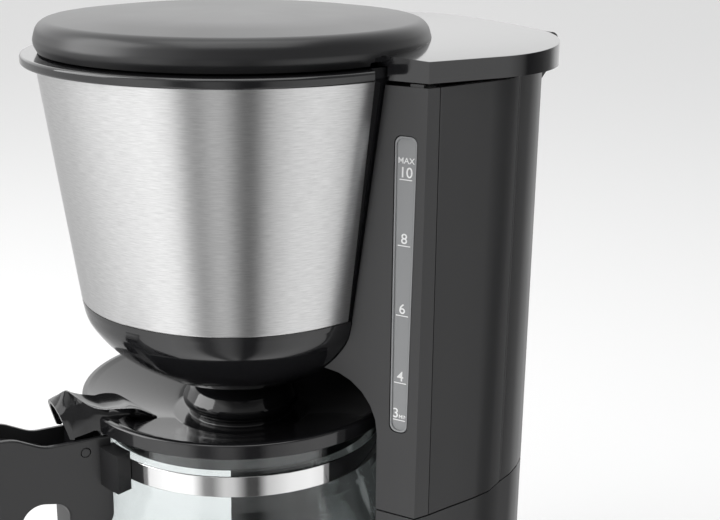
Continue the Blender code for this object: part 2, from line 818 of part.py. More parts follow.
def build_tank():
    low, high = SEAM_Z + 0.0052, COLUMN_TOP_Z - 0.0035
    outline = inset(mirrored(column_half(0.060)), WALL + 0.0008)
    tank = spread(prism("water_tank", outline, low, high))
    room = helper(
        spread(prism("tank_room", inset(outline, THIN_WALL), low + THIN_WALL, high + 0.01)), "tank_room"
    )
    front_core = helper(
        disc("tank_front_core", NICHE_RADIUS + WALL + 0.0008 + THIN_WALL, low - 0.01, high + 0.02, 44),
        "tank_front_core",
    )
    front_cut = helper(
        disc("tank_front_cut", NICHE_RADIUS + WALL + 0.0008, low - 0.02, high + 0.03, 44), "tank_front_cut"
    )
    riser_core = helper(
        block(
            "riser_core",
            (-0.10, 0.0, low - 0.01),
            (RISER_XY[0] + 0.0095, RISER_XY[1] + 0.0095, high + 0.02),
        ),
        "riser_core",
    )
    riser_cut = helper(
        block(
            "riser_cut",
            (-0.11, -0.01, low - 0.02),
            (RISER_XY[0] + 0.0075, RISER_XY[1] + 0.0075, high + 0.03),
        ),
        "riser_cut",
    )
    ahead = helper(
        block("tank_ahead", (-0.0655, -0.2, low - 0.02), (0.0655, 0.040, high + 0.03)), "tank_ahead"
    )
    cut(room, front_core, riser_core)
    spigot = helper(
        disc("tank_spigot", 0.0050, low - 0.0050, low + 0.001, 20, TANK_OUTLET_XY), "tank_spigot"
    )
    bore = helper(disc("tank_bore", 0.0032, low - 0.010, low + 0.010, 16, TANK_OUTLET_XY), "tank_bore")
    cut(tank, room, front_cut, riser_cut, ahead)
    join(tank, spigot)
    cut(tank, bore)
    register(smooth(tank), "water_tank", "translucent_tank")


def build_water_path():
    heater_z = DECK_Z + HOTPLATE_PROUD - HOTPLATE_THICKNESS - 0.0062
    under_deck = 0.0265
    leg_end = HEATER_LEG + 2 * GAP
    spigot_z = SEAM_Z + 0.0002
    valve_low, valve_high = 0.0560, 0.0740
    x, y = TANK_OUTLET_XY
    feed_upper = [(x, y, spigot_z - GAP), (x, y, (spigot_z + valve_high) / 2), (x, y, valve_high + GAP)]
    register(smooth(tube("feed_hose", feed_upper, 0.0042)), "feed_hose", "silicone")
    valve = turned("check_valve", [
        (0.0, valve_high), (0.0040, valve_high), (0.0042, 0.0690), (0.0062, 0.0685), (0.0062, 0.0615),
        (0.0042, 0.0610), (0.0040, valve_low), (0.0, valve_low),
    ], 20, axis_xy=TANK_OUTLET_XY)
    register(valve, "check_valve", "silicone")
    inlet_way = [
        (HEATER_RADIUS, leg_end, heater_z), (HEATER_RADIUS, leg_end + 0.004, heater_z),
        (0.0400, 0.0440, under_deck), (0.0385, 0.0600, under_deck), (0.0340, 0.0800, under_deck),
        (x, y - 0.0025, 0.0360), (x, y, 0.0460), (x, y, valve_low - GAP),
    ]
    register(
        smooth(tube("heater_inlet_hose", spline(inlet_way, 4), 0.0040)), "heater_inlet_hose", "silicone"
    )

    x, y = RISER_XY
    riser_way = [
        (-HEATER_RADIUS, leg_end, heater_z), (-HEATER_RADIUS, leg_end + 0.004, heater_z),
        (-0.0410, 0.0440, under_deck), (-0.0500, 0.0550, under_deck),
        (-0.0660, 0.0620, under_deck + 0.002), (x + 0.0010, y + 0.0060, 0.0420), (x, y, 0.0580),
        (x, y, 0.0760),
    ]
    path = [*spline(riser_way, 4), Vector((x, y, 0.3020))]
    register(smooth(tube("riser_hose", path, 0.0042)), "riser_hose", "silicone")

    inward = Vector((-x, -y, 0.0)).normalized()
    level = 0.3090
    reach = Vector((x, y, 0.0)).length - 0.0690
    elbow = [
        Vector((x, y, 0.3024)), Vector((x, y, level - 0.0020)), Vector((x, y, level)) + inward * 0.0020,
        Vector((x, y, level)) + inward * (reach - 0.0020), Vector((x, y, level + 0.0020)) + inward * reach,
        Vector((x, y, 0.3175)) + inward * reach,
    ]
    outlet = tube("riser_outlet", elbow, 0.0034)
    register(smooth(outlet), "riser_outlet", "satin_black")


# ---------------------------------------------------------------- funnel


def build_funnel():
    rim = FUNNEL_RIM_Z
    under = rim - RIM_THICKNESS
    behind_steel = STEEL_THICKNESS + GAP
    outer = [
        (FUNNEL_MOUTH_RADIUS, rim), (FLANGE_RADIUS, rim, 0.0012), (FLANGE_RADIUS, under, 0.0012),
        (STEEL_TOP_RADIUS - behind_steel, under),
        (STEEL_BOTTOM_RADIUS - behind_steel, STEEL_BOTTOM_Z - GAP),
        (STEEL_BOTTOM_RADIUS, STEEL_BOTTOM_Z - GAP),
    ]
    inner_bottom = BOWL_BOTTOM_Z + WALL
    inner = [
        (OUTLET_RADIUS, BOWL_BOTTOM_Z), (OUTLET_RADIUS, inner_bottom),
        *reversed(spline(bowl_path(WALL), 2)),
        (STEEL_TOP_RADIUS - behind_steel - WALL, under - 0.0006), (FUNNEL_MOUTH_RADIUS, under + 0.0008),
    ]
    funnel = turned("funnel_housing", [*rounded(outer, 3), *spline(bowl_path(), 2)[1:], *inner], 40)
    x, y = RISER_XY
    way = Vector((-x, -y, 0.0)).normalized() * 0.012
    start = Vector((x, y, 0.3090)) - way
    hole = helper(rod("outlet_way", 0.0040, start, start + way * 2.2, 16), "outlet_way")
    for side in (-1, 1):
        shoulder = step_back(side)
        keep = helper(
            disc(
                f"rim_core_{side}", STEEL_TOP_RADIUS - 0.0002, FUNNEL_RIM_Z - 0.03, FUNNEL_RIM_Z + 0.03, 48
            ),
            f"rim_core_{side}",
        )
        cut(shoulder, keep)
        cut(funnel, helper(shoulder, f"rim_step_{side}"))
    rear_flange = helper(
        ring(
            "rear_flange",
            STEEL_TOP_RADIUS - 0.0002,
            0.100,
            FUNNEL_RIM_Z - RIM_THICKNESS - 0.0003,
            FUNNEL_RIM_Z + 0.01,
            48,
        ),
        "rear_flange",
    )
    ahead = helper(
        block("rim_ahead", (-0.2, -0.2, 0.30), (0.2, RECESS_LINE[0][1] + 0.004, 0.34)), "rim_ahead"
    )
    cut(rear_flange, ahead)
    register(smooth(cut(funnel, hole, rear_flange)), "funnel_housing", "gloss_black")

    low, high = STEEL_BOTTOM_Z, under - GAP
    middle = STEEL_THICKNESS / 2
    mesh = bpy.data.meshes.new("steel_wrap")
    mesh.from_pydata(
        [(cone_radius(high) - middle, 0, high), (cone_radius(low) - middle, 0, low)], [(0, 1)], []
    )
    wrap = bpy.data.objects.new("steel_wrap", mesh)
    PARTS.objects.link(wrap)
    wrap.rotation_euler = (0, 0, math.radians(STEEL_END_ANGLE))
    screw = wrap.modifiers.new("turn", "SCREW")
    screw.angle = -math.radians(180 + 2 * STEEL_END_ANGLE)
    screw.steps = 48
    screw.render_steps = 48
    screw.use_merge_vertices = True
    screw.merge_threshold = 1e-6
    screw.use_smooth_shade = True
    thick = wrap.modifiers.new("thickness", "SOLIDIFY")
    thick.thickness = STEEL_THICKNESS
    thick.offset = 0.0
    register(wrap, "steel_wrap", "brushed_steel")


def build_basket():
    floor = BASKET_FLOOR_Z
    top = 0.3060
    rim_radius = 0.0740
    outer = [
        (rim_radius, top), (rim_radius, top - 0.0018), (0.0655, top - 0.0018), (0.0560, 0.2300),
        (0.0240, floor),
    ]
    inner = [
        (0.0055, floor), (0.0055, floor + THIN_WALL), (0.0232, floor + THIN_WALL),
        (0.0540, 0.2306), (0.0635, top),
    ]
    basket = turned("filter_basket", [*outer, *inner], 40)
    x, y = RISER_XY
    away = Vector((x, y, 0.0)).normalized()
    notch = helper(
        rod(
            "outlet_notch",
            0.0060,
            away * 0.0700 + Vector((0, 0, top - 0.010)),
            away * 0.0700 + Vector((0, 0, top + 0.010)),
            16,
        ),
        "outlet_notch",
    )
    chimney = helper(ring("chimney", 0.0105, 0.0125, floor + 0.001, SPRING_TOP_Z, 32), "chimney")
    join(basket, chimney)
    cut(basket, notch)
    for index in range(2):
        turn = Matrix.Rotation(math.radians(90 * index), 3, "Z")
        reach = turn @ Vector((0.018, 0, 0))
        middle = Vector((0, 0, floor + THIN_WALL + 0.0030))
        slot = helper(
            rod(f"drain_slot_{index}", 0.0022, middle - reach, middle + reach, 12), f"drain_slot_{index}"
        )
        cut(basket, slot)
    register(smooth(basket), "filter_basket", "satin_black")

    bridge = ring(
        "valve_bridge", VALVE_STEM_RADIUS + 0.0006, 0.0125, SPRING_TOP_Z + GAP, SPRING_TOP_Z + 0.0020, 32
    )
    register(bridge, "valve_bridge", "satin_black")

    axis = empty("valve_axis", 0.0, VALVE_FOOT_Z, DATUM)
    seal_low = floor + THIN_WALL + GAP
    flange_low = seal_low + 0.0020 + GAP
    plunger = turned(
        "valve_plunger",
        [
            (0.0, SPRING_TOP_Z + 0.0050), (VALVE_STEM_RADIUS, SPRING_TOP_Z + 0.0050),
            (VALVE_STEM_RADIUS, SPRING_BOTTOM_Z - GAP), (0.0080, SPRING_BOTTOM_Z - GAP),
            (0.0080, flange_low), (VALVE_STEM_RADIUS, flange_low),
            (VALVE_STEM_RADIUS, VALVE_FOOT_Z + 0.0014), (0.0060, VALVE_FOOT_Z + 0.0014),
            (0.0060, VALVE_FOOT_Z), (0.0, VALVE_FOOT_Z),
        ],
        24,
    )
    register(plunger, "valve_plunger", "satin_black", axis)
    register(
        ring("valve_seal", VALVE_STEM_RADIUS + GAP, 0.0085, seal_low, seal_low + 0.0020, 24),
        "valve_seal",
        "silicone",
        axis,
    )
    wire = 0.0004
    coil_radius = 0.0055
    span = SPRING_TOP_Z - SPRING_BOTTOM_Z - 2 * (wire + GAP)
    points = []
    per_turn = 10
    for step in range(SPRING_TURNS * per_turn + 1):
        angle = 2 * math.pi * step / per_turn
        height = SPRING_BOTTOM_Z + wire + GAP + span * step / (SPRING_TURNS * per_turn)
        points.append((coil_radius * math.cos(angle), coil_radius * math.sin(angle), height))
    register(smooth(tube("valve_spring", points, wire, 1)), "valve_spring", "polished_steel")


# ---------------------------------------------------------------- lid


def step_back(side):
    """The corner of the funnel's rim that stands clear of the lid's flank panel."""
    (x1, y1), (x2, y2) = RECESS_LINE
    slope = (y2 - y1) / (x2 - x1)
    outline = [
        Vector((x1, y1)), Vector((0.110, y1 + (0.110 - x1) * slope)),
        Vector((0.110, flank_y(0.110) + 0.02)), Vector((x1, flank_y(x1) + 0.02)),
    ]
    if side < 0:
        outline = [Vector((-p.x, p.y)) for p in reversed(outline)]
    return prism("step_back", outline, FUNNEL_RIM_Z - RIM_THICKNESS - 0.0002, DOME_BOTTOM_Z + 0.0016)


def crown_cutter(name, depth):
    """Everything above the deck's crowned top, or above a surface at a depth under it."""
    half_width = LID_CORNER[0]
    radius = (half_width**2 + LID_CROWN**2) / (2 * LID_CROWN)
    middle_z = LID_DECK_Z + LID_CROWN - radius
    reach = math.degrees(math.asin(0.1 / radius))
    edge = arc((0.0, middle_z), radius - depth, 90 - reach, 90 + reach, 12)
    outline = [*edge, Vector((-0.1, LID_DECK_Z + 0.05)), Vector((0.1, LID_DECK_Z + 0.05))]
    obj = prism(name, outline, -0.20, 0.20)
    obj.data.transform(Matrix.Rotation(math.radians(90), 4, "X"))
    return obj


def build_lid():
    axis = empty("lid_hinge_axis", LID_HINGE_Y, LID_HINGE_Z, DATUM)
    crown = TOTAL_HEIGHT
    dome_outer = [
        (0.0, crown), (0.0300, crown - 0.0003), (0.0560, crown - 0.0014), (0.0790, crown - 0.0042, 0.0090),
        (DOME_RADIUS, LID_DECK_Z + 0.0012, 0.0060), (DOME_RADIUS - 0.0020, DOME_BOTTOM_Z),
        (0.0, DOME_BOTTOM_Z),
    ]
    lid = turned("lid_shell", rounded(dome_outer, 4), 44)
    steps_back = [helper(step_back(side), f"step_back_{side}") for side in (-1, 1)]
    cut(lid, *steps_back)

    outline = mirrored(lid_half())
    deck = helper(prism("lid_deck", outline, LID_SKIRT_Z, LID_DECK_Z + LID_CROWN + 0.001), "lid_deck")
    cut(deck, helper(crown_cutter("deck_crown", 0.0), "deck_crown"))
    deck_room = helper(
        prism("deck_room", inset(outline, WALL), LID_SKIRT_Z - 0.01, LID_DECK_Z + LID_CROWN), "deck_room"
    )
    cut(deck_room, helper(crown_cutter("room_crown", WALL), "room_crown"))
    dome_room = helper(
        turned(
            "dome_room",
            rounded(
                [
                    (0.0, crown - WALL), (0.0300, crown - WALL - 0.0003),
                    (0.0740, crown - WALL - 0.0040, 0.0060), (DOME_RADIUS - WALL, LID_DECK_Z + 0.0010),
                    (0.0772, DOME_BOTTOM_Z + 0.0008), (0.0772, LID_SKIRT_Z - 0.012),
                    (0.0, LID_SKIRT_Z - 0.012),
                ],
                2,
            ),
            36,
        ),
        "dome_room",
    )
    notches = []
    for side in (-1, 1):
        panel_y = LID_CORNER[1] - (LID_CORNER[0] - LID_PANEL_X) * math.tan(FLANK_SLOPE)
        place = (side * LID_PANEL_X, panel_y)
        notches.append(
            helper(
                disc(f"panel_notch_{side}", 0.0058, LID_SKIRT_Z - 0.01, FUNNEL_RIM_Z + GAP * 2, 24, place),
                f"panel_notch_{side}",
            ),
        )
    rim_room = helper(
        disc("rim_room", STEEL_TOP_RADIUS + 0.0008, LID_SKIRT_Z - 0.011, FUNNEL_RIM_Z + GAP, 48), "rim_room"
    )
    join(lid, deck)
    cut(lid, deck_room, dome_room, rim_room, *notches)
    for side in (-1, 1):
        eye = knuckle(f"lid_knuckle_{side}", side * (KNUCKLE_OFFSET - KNUCKLE_WIDTH / 2 - GAP), True)
        join(lid, helper(eye, f"lid_knuckle_{side}"))
    cut(lid, bpy.data.objects["pin_bore"])
    register(smooth(lid), "lid_shell", "gloss_black", axis)

    tray_top = FUNNEL_RIM_Z - 0.0030
    tray = turned(
        "spray_plate",
        [
            (0.0, tray_top), (0.0600, tray_top), (0.0610, tray_top + 0.0060), (0.0730, tray_top + 0.0062),
            (0.0730, tray_top + 0.0042), (0.0624, tray_top + 0.0040), (0.0614, tray_top - 0.0016),
            (0.0, tray_top - 0.0016),
        ],
        40,
    )
    hole_count = 6
    for index in range(hole_count):
        angle = 2 * math.pi * (index + 0.3) / hole_count
        place = (0.028 * math.cos(angle), 0.028 * math.sin(angle))
        cut(
            tray,
            helper(
                disc(f"spray_hole_{index}", 0.0016, tray_top - 0.004, tray_top + 0.002, 10, place),
                f"spray_hole_{index}",
            ),
        )
    register(smooth(tray), "spray_plate", "satin_black", axis)

    reach = KNUCKLE_OFFSET + KNUCKLE_WIDTH + 0.0006
    pin = rod(
        "lid_hinge_pin",
        LID_PIN_RADIUS,
        (-reach, LID_HINGE_Y, LID_HINGE_Z),
        (reach, LID_HINGE_Y, LID_HINGE_Z),
        12,
    )
    register(smooth(pin), "lid_hinge_pin", "polished_steel")


# ---------------------------------------------------------------- jug


def jug_outer():
    z = JUG_BOTTOM_Z
    curve = spline(
        [(JUG_RADIUS - 0.0020, z + 0.0160), (JUG_RADIUS, z + 0.0400), (JUG_RADIUS - 0.0012, z + 0.0680),
         (JUG_RADIUS - 0.0060, z + 0.0900), (JUG_NECK_RADIUS, BAND_BOTTOM_Z - 0.0060)], 3,
    )
    foot = rounded([(0.0, z), (JUG_RADIUS - 0.0030, z, 0.0120), (JUG_RADIUS - 0.0020, z + 0.0160)], 4)[1:-1]
    return [Vector((0.0, z)), *foot, *curve, Vector((JUG_NECK_RADIUS, JUG_RIM_Z))]


def glass_clearance():
    """The outside of the glass as a solid, grown by the gap, to trim what lies against it."""
    grown = [Vector((p.x + GAP, p.y)) for p in jug_outer()]
    return turned("glass_clearance", [(0.0, grown[0].y - 0.01), *grown, (grown[-1].x, 0.2), (0.0, 0.2)], 48)


def jug_inner(outer):
    """The outer profile moved inwards by the glass thickness."""
    moved = []
    for before, here, after in zip(outer, outer[1:], outer[2:]):
        way = (after - before).normalized()
        moved.append(here + Vector((-way.y, way.x)) * GLASS)
    return [Vector((0.0, outer[0].y + GLASS)), *moved, Vector((outer[-1].x - GLASS, outer[-1].y))]


def build_jug():
    axis = empty("jug_axis", 0.0, JUG_BOTTOM_Z, DATUM)
    outer = jug_outer()
    glass = turned("jug_glass", [*outer, *reversed(jug_inner(outer))], 36)
    register(glass, "jug_glass", "glass", axis)

    inner_radius = JUG_NECK_RADIUS + GAP
    band = ring("jug_band", inner_radius, inner_radius + BAND_THICKNESS, BAND_BOTTOM_Z, BAND_TOP_Z, 56)
    tab = helper(
        block(
            "band_tab", (-0.0050, -inner_radius - 0.0100, BAND_BOTTOM_Z + 0.001),
            (0.0050, -inner_radius - 0.0002, BAND_TOP_Z - 0.001),
        ),
        "band_tab",
    )
    screw_y = -inner_radius - 0.0060
    bore = helper(
        rod("tab_bore", 0.0019, (0, screw_y, BAND_BOTTOM_Z - 0.02), (0, screw_y, BAND_TOP_Z + 0.02), 12),
        "tab_bore",
    )
    join(band, tab)
    register(smooth(cut(band, bore)), "jug_band", "polished_steel", axis)
    screw = turned("band_screw", [
        (0.0, BAND_TOP_Z + 0.0020), (0.0013, BAND_TOP_Z + 0.0014), (0.0015, BAND_BOTTOM_Z - 0.0060),
        (0.0030, BAND_BOTTOM_Z - 0.0062), (0.0030, BAND_BOTTOM_Z - 0.0084), (0.0, BAND_BOTTOM_Z - 0.0084),
    ], 12, axis_xy=(0.0, screw_y))
    register(screw, "band_screw", "polished_steel", axis)

    build_handle(axis, inner_radius)
    build_jug_lid(axis)


def build_handle(axis, band_inner):
    outline = rounded(
        [
            (-0.0640, HANDLE_TOP_Z - 0.0010), (-0.0640, 0.1310, 0.006), (-0.0735, 0.1170, 0.010),
            (-0.0735, HANDLE_BOTTOM_Z + 0.0180, 0.010), (-0.0860, HANDLE_BOTTOM_Z, 0.012),
            (-0.1100, HANDLE_BOTTOM_Z + 0.0020, 0.018), (-HANDLE_FRONT, HANDLE_BOTTOM_Z + 0.0340, 0.050),
            (-HANDLE_FRONT, HANDLE_TOP_Z - 0.0200, 0.030), (-0.1190, HANDLE_TOP_Z + 0.0062, 0.012),
            (-0.1040, HANDLE_TOP_Z + 0.0050, 0.014), (-0.0920, HANDLE_TOP_Z - 0.0010, 0.014),
        ],
        7,
    )
    handle = side_prism("jug_handle", outline, HANDLE_HALF_WIDTH)
    neck_y = -band_inner - 0.0060  # where the band's screw stands
    grip_outline = rounded(
        [
            (-0.0830, 0.1410, 0.007), (-0.0830, HANDLE_BOTTOM_Z + 0.0300, 0.010),
            (-0.0900, HANDLE_BOTTOM_Z + 0.0170, 0.008), (-0.1090, HANDLE_BOTTOM_Z + 0.0260, 0.012),
            (-0.1020, 0.1450, 0.012),
        ],
        6,
    )
    grip = helper(side_prism("finger_gap", grip_outline, 0.02), "finger_gap")
    inner = band_inner + BAND_THICKNESS + GAP
    saddle = ring("saddle", inner, 0.0700, BAND_BOTTOM_Z - 0.0040, BAND_TOP_Z + 0.0040, 64)
    wedge = math.radians(SADDLE_ANGLE)
    corner = Vector((0.090 * math.sin(wedge), -0.090 * math.cos(wedge)))
    sector = [Vector((0.0, -0.010)), Vector((-corner.x, corner.y)), corner]
    side = helper(prism("saddle_sector", sector, 0.10, 0.20), "saddle_sector")
    helper(combine(saddle, side, "INTERSECT"), "saddle")
    pocket = helper(
        side_prism(
            "lever_pocket",
            rounded(
                [
                    (-0.0620, 0.1900), (-0.0620, 0.1560, 0.002), (-0.0840, 0.1560, 0.004),
                    (-0.0890, 0.1620, 0.006), (-0.1080, 0.1690, 0.006), (-0.1120, 0.1900),
                ],
                4,
            ),
            HANDLE_HALF_WIDTH - 0.0019,
        ),
        "lever_pocket",
    )
    tab_pocket = helper(
        block(
            "tab_pocket", (-0.0053, -band_inner - 0.0103, BAND_BOTTOM_Z - 0.0002),
            (0.0053, -band_inner + 0.0020, BAND_TOP_Z + 0.0002),
        ),
        "tab_pocket",
    )
    screw_bore = helper(
        rod("screw_bore", 0.0019, (0, neck_y, BAND_BOTTOM_Z - 0.008), (0, neck_y, BAND_TOP_Z + 0.003), 12),
        "screw_bore",
    )
    head_bore = helper(
        rod(
            "head_bore",
            0.0034,
            (0, neck_y, BAND_BOTTOM_Z - 0.1200),
            (0, neck_y, BAND_BOTTOM_Z - 0.0057),
            12,
        ),
        "head_bore",
    )
    pin_way = helper(
        rod("lid_pin_way", 0.0022, (-0.02, LID_PIN_Y, LID_PIN_Z), (0.02, LID_PIN_Y, LID_PIN_Z), 16),
        "lid_pin_way",
    )
    join(handle, bpy.data.objects["saddle"])
    cut(
        handle,
        helper(glass_clearance(), "glass_clearance"),
        grip,
        pocket,
        tab_pocket,
        screw_bore,
        head_bore,
        pin_way,
    )
    register(smooth(handle), "jug_handle", "satin_black", axis)

    reach = HANDLE_HALF_WIDTH + 0.0002
    pin = rod("jug_lid_pin", 0.0019, (-reach, LID_PIN_Y, LID_PIN_Z), (reach, LID_PIN_Y, LID_PIN_Z), 16)
    register(smooth(pin), "jug_lid_pin", "satin_black", axis)


def build_jug_lid(axis):
    rim, dish, hub = JUG_LID_TOP_Z, DISH_Z, HUB_TOP_Z
    skin = 0.0022
    plug = JUG_NECK_RADIUS - GLASS - 0.0012
    top = rounded(
        [
            (0.0060, hub), (0.0130, hub - 0.0003, 0.004), (0.0220, hub - 0.0050, 0.006),
            (HUB_RADIUS, hub - 0.0122, 0.004), (HUB_NECK_RADIUS, hub - 0.0165, 0.001),
            (HUB_NECK_RADIUS, dish, 0.002), (0.0300, dish, 0.004), (JUG_LID_RADIUS - 0.0022, rim, 0.001),
            (JUG_LID_RADIUS, rim, 0.0009), (JUG_LID_RADIUS, JUG_RIM_Z + 0.0004),
        ],
        2,
    )
    below = [
        (plug, JUG_RIM_Z + 0.0004), (plug, dish - 0.0030), (plug - 0.0020, dish - 0.0030),
        (plug - 0.0020, rim - 0.0076), (0.0310, dish - skin), (HUB_NECK_RADIUS - skin, dish - skin),
        (HUB_NECK_RADIUS - skin, hub - 0.0158), (HUB_RADIUS - skin, hub - 0.0128), (0.0200, hub - 0.0062),
        (0.0120, hub - skin - 0.0002), (0.0060, hub - skin),
    ]
    lid = turned("jug_lid", [*top, *below], 36)
    vent = helper(vent_recess(), "vent_recess")
    lever = lever_solid()
    join(lid, lever)
    cut(lid, vent)
    register(smooth(lid), "jug_lid", "gloss_black", axis)


def vent_recess():
    """A shallow mark with round ends in the side of the hub, over the steam vent."""
    half_length, half_height = 0.0105, 0.0024
    corner = half_height - 0.0001
    pill = prism(
        "vent_recess",
        rounded(
            [
                (-half_length, -half_height, corner), (half_length, -half_height, corner),
                (half_length, half_height, corner), (-half_length, half_height, corner),
            ],
            5,
        ),
        0.0180, HUB_RADIUS + 0.0020,
    )
    outward = Vector((math.cos(VENT_DIRECTION), math.sin(VENT_DIRECTION), 0.0))
    across = Vector((-outward.y, outward.x, 0.0))
    pill.data.transform(Matrix((
        (across.x, 0.0, outward.x, 0.0),
        (across.y, 0.0, outward.y, 0.0),
        (0.0, 1.0, 0.0, DISH_Z + 0.0058),
        (0.0, 0.0, 0.0, 1.0),
    )))
    core = disc("vent_core", HUB_RADIUS - VENT_DEPTH, DISH_Z - 0.0100, HUB_TOP_Z, 48)
    return cut(pill, helper(core, "vent_core"))


def lever_solid():
    """The jug lid's thumb lever: a hollow hood that narrows to a point on the lid, and its eye."""
    tip, front = (-0.0397, 0.1678), (-0.0853, 0.1832)
    top_line = [
        tip, (-0.0480, 0.1737), (-0.0540, 0.1774), (-0.0600, 0.1787), (-0.0660, 0.1792), (-0.0720, 0.1817),
        (-0.0780, 0.1863), (-0.0810, 0.1862), front,
    ]
    under_line = [
        (-0.0838, 0.1812), (-0.0820, 0.1760), (-0.0800, LEVER_FOOT_Z), (-0.0650, LEVER_FOOT_Z),
        (-0.0630, 0.1702), (-0.0600, 0.1702), (-0.0500, 0.1685),
    ]
    outline = [*spline(top_line, 2), *[Vector(p) for p in under_line]]
    lever = side_prism("lever", outline, LEVER_HALF_WIDTH)
    side = LEVER_HALF_WIDTH + 0.0001
    plan = [
        (-0.0004, tip[0]), (-side, -0.0580), (-side, -0.0900), (side, -0.0900), (side, -0.0580),
        (0.0004, tip[0]),
    ]
    combine(lever, helper(prism("lever_plan", plan, 0.16, 0.20), "lever_plan"), "INTERSECT")
    room_outline = [
        (-0.0700, LEVER_FOOT_Z - 0.0020), (-0.0700, 0.1774), (-0.0730, 0.1794), (-0.0785, 0.1838),
        (-0.0830, 0.1822), (-0.0900, 0.1790), (-0.0900, LEVER_FOOT_Z - 0.0020),
    ]
    room = helper(side_prism("lever_room", room_outline, LEVER_HALF_WIDTH - LEVER_WALL), "lever_room")
    scoop = helper(
        rod("lever_scoop", 0.0200, (0, -0.0850, 0.2080), (0, -0.0500, 0.1958), 32), "lever_scoop"
    )
    eye_outline = [
        *arc((LID_PIN_Y, LID_PIN_Z), 0.0042, 180, 360, 8),
        Vector((-0.0690, 0.1785)),
        Vector((-0.0765, 0.1838)),
    ]
    eye = helper(side_prism("lever_eye", eye_outline, 0.0060), "lever_eye")
    bore = helper(
        rod("eye_bore", 0.0022, (-0.02, LID_PIN_Y, LID_PIN_Z), (0.02, LID_PIN_Y, LID_PIN_Z), 16), "eye_bore"
    )
    cut(lever, scoop, room)
    join(lever, eye)
    cut(lever, bore)
    return helper(lever, "lever")


# ---------------------------------------------------------------- assembly

clear_scene()
PARTS = new_collection("drip_coffee_maker")
CUTTERS = new_collection("cutters")
MADE = {name: make_material(name) for name in MATERIALS}
DATUM = empty("funnel_axis_datum", DATUM_Y)

build_base()
build_hotplate()
build_switch()
build_gland()
build_column()
build_tank()
build_water_path()
build_funnel()
build_basket()
build_lid()
build_jug()
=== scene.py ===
"""The drip coffee maker's looks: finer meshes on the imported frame, node materials, studio light and camera."""

import json
import math

import bmesh
import bpy
from mathutils import Matrix, Vector

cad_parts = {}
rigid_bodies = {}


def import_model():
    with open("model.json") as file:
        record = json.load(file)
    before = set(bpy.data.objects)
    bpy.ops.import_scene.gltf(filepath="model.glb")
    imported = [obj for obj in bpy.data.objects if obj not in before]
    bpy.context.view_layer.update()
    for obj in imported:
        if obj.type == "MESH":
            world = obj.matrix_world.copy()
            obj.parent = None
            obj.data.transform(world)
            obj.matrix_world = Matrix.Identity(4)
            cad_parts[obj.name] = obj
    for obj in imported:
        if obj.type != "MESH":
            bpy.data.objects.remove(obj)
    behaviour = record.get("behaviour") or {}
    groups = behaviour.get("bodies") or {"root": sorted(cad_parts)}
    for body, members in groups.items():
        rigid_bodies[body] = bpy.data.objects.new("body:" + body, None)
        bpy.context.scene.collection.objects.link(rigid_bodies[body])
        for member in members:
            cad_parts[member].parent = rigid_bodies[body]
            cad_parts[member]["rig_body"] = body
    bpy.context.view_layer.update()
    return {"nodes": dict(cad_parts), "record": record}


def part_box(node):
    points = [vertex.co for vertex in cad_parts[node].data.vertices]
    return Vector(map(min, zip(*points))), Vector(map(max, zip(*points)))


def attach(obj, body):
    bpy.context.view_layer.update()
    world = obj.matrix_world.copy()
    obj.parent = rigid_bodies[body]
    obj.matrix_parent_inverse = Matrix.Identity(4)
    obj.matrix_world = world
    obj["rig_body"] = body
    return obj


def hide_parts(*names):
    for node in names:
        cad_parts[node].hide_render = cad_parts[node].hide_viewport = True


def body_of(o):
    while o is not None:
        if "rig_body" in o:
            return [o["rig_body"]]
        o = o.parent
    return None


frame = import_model()

# ---------------------------------------------------------------- places
# Outlines and profiles are measured from the axis of the funnel, the jug and the hotplate. AXIS_Y is that
# axis in the row frame.

AXIS_Y = (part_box("hotplate")[0].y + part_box("hotplate")[1].y) / 2
CAMERA_PLACE = Vector((0.4970, -0.2213 + AXIS_Y, 0.3901))
CAMERA_AZIMUTH, CAMERA_DOWN, CAMERA_ROLL = 60.48, 16.19, 0.47
CAMERA_LENS = 65.36
CAMERA_SENSOR = 36.0

GAP = 0.0003
SEAM_Z = 0.1408
FUNNEL_RIM_Z = 0.3232
RIM_UNDER_Z = 0.3192
LID_DECK_Z = 0.3264
LID_CROWN = 0.0030
LID_SKIRT_Z = 0.3183
CROWN_Z = 0.3400
DOME_RADIUS = 0.0813
DOME_BOTTOM_Z = 0.3238
FLANK_SLOPE = math.radians(30.7)
CORNER = Vector((0.0898, 0.0355))
COLUMN_SPREAD, COLUMN_LEAN = 0.07, 0.0085
STEEL_BOTTOM_Z = 0.2204
STEEL_RADII = (0.0668, 0.0805)  # at the bottom and at the top
BOWL_BOTTOM_Z = 0.1837
JUG_BOTTOM_Z = 0.0393
JUG_RIM_Z = 0.1696
JUG_LID_TOP_Z = 0.1764
HUB_TOP_Z = 0.1824
DISH_Z = 0.1640
LID_HINGE = (0.1312, 0.3243)  # (y, z) of the lid's pin
KNUCKLE_RADIUS = 0.0036
JUG_LID_PIN = (-0.0750, 0.1625)  # (y, z) of the jug lid's pin
LEVER_EYE_RADIUS = 0.0042
LID_PIN_BORE = 0.0021
WINDOW_FROM_CORNER = 0.0086
WINDOW_RECESS = 0.0008

# ---------------------------------------------------------------- node helpers


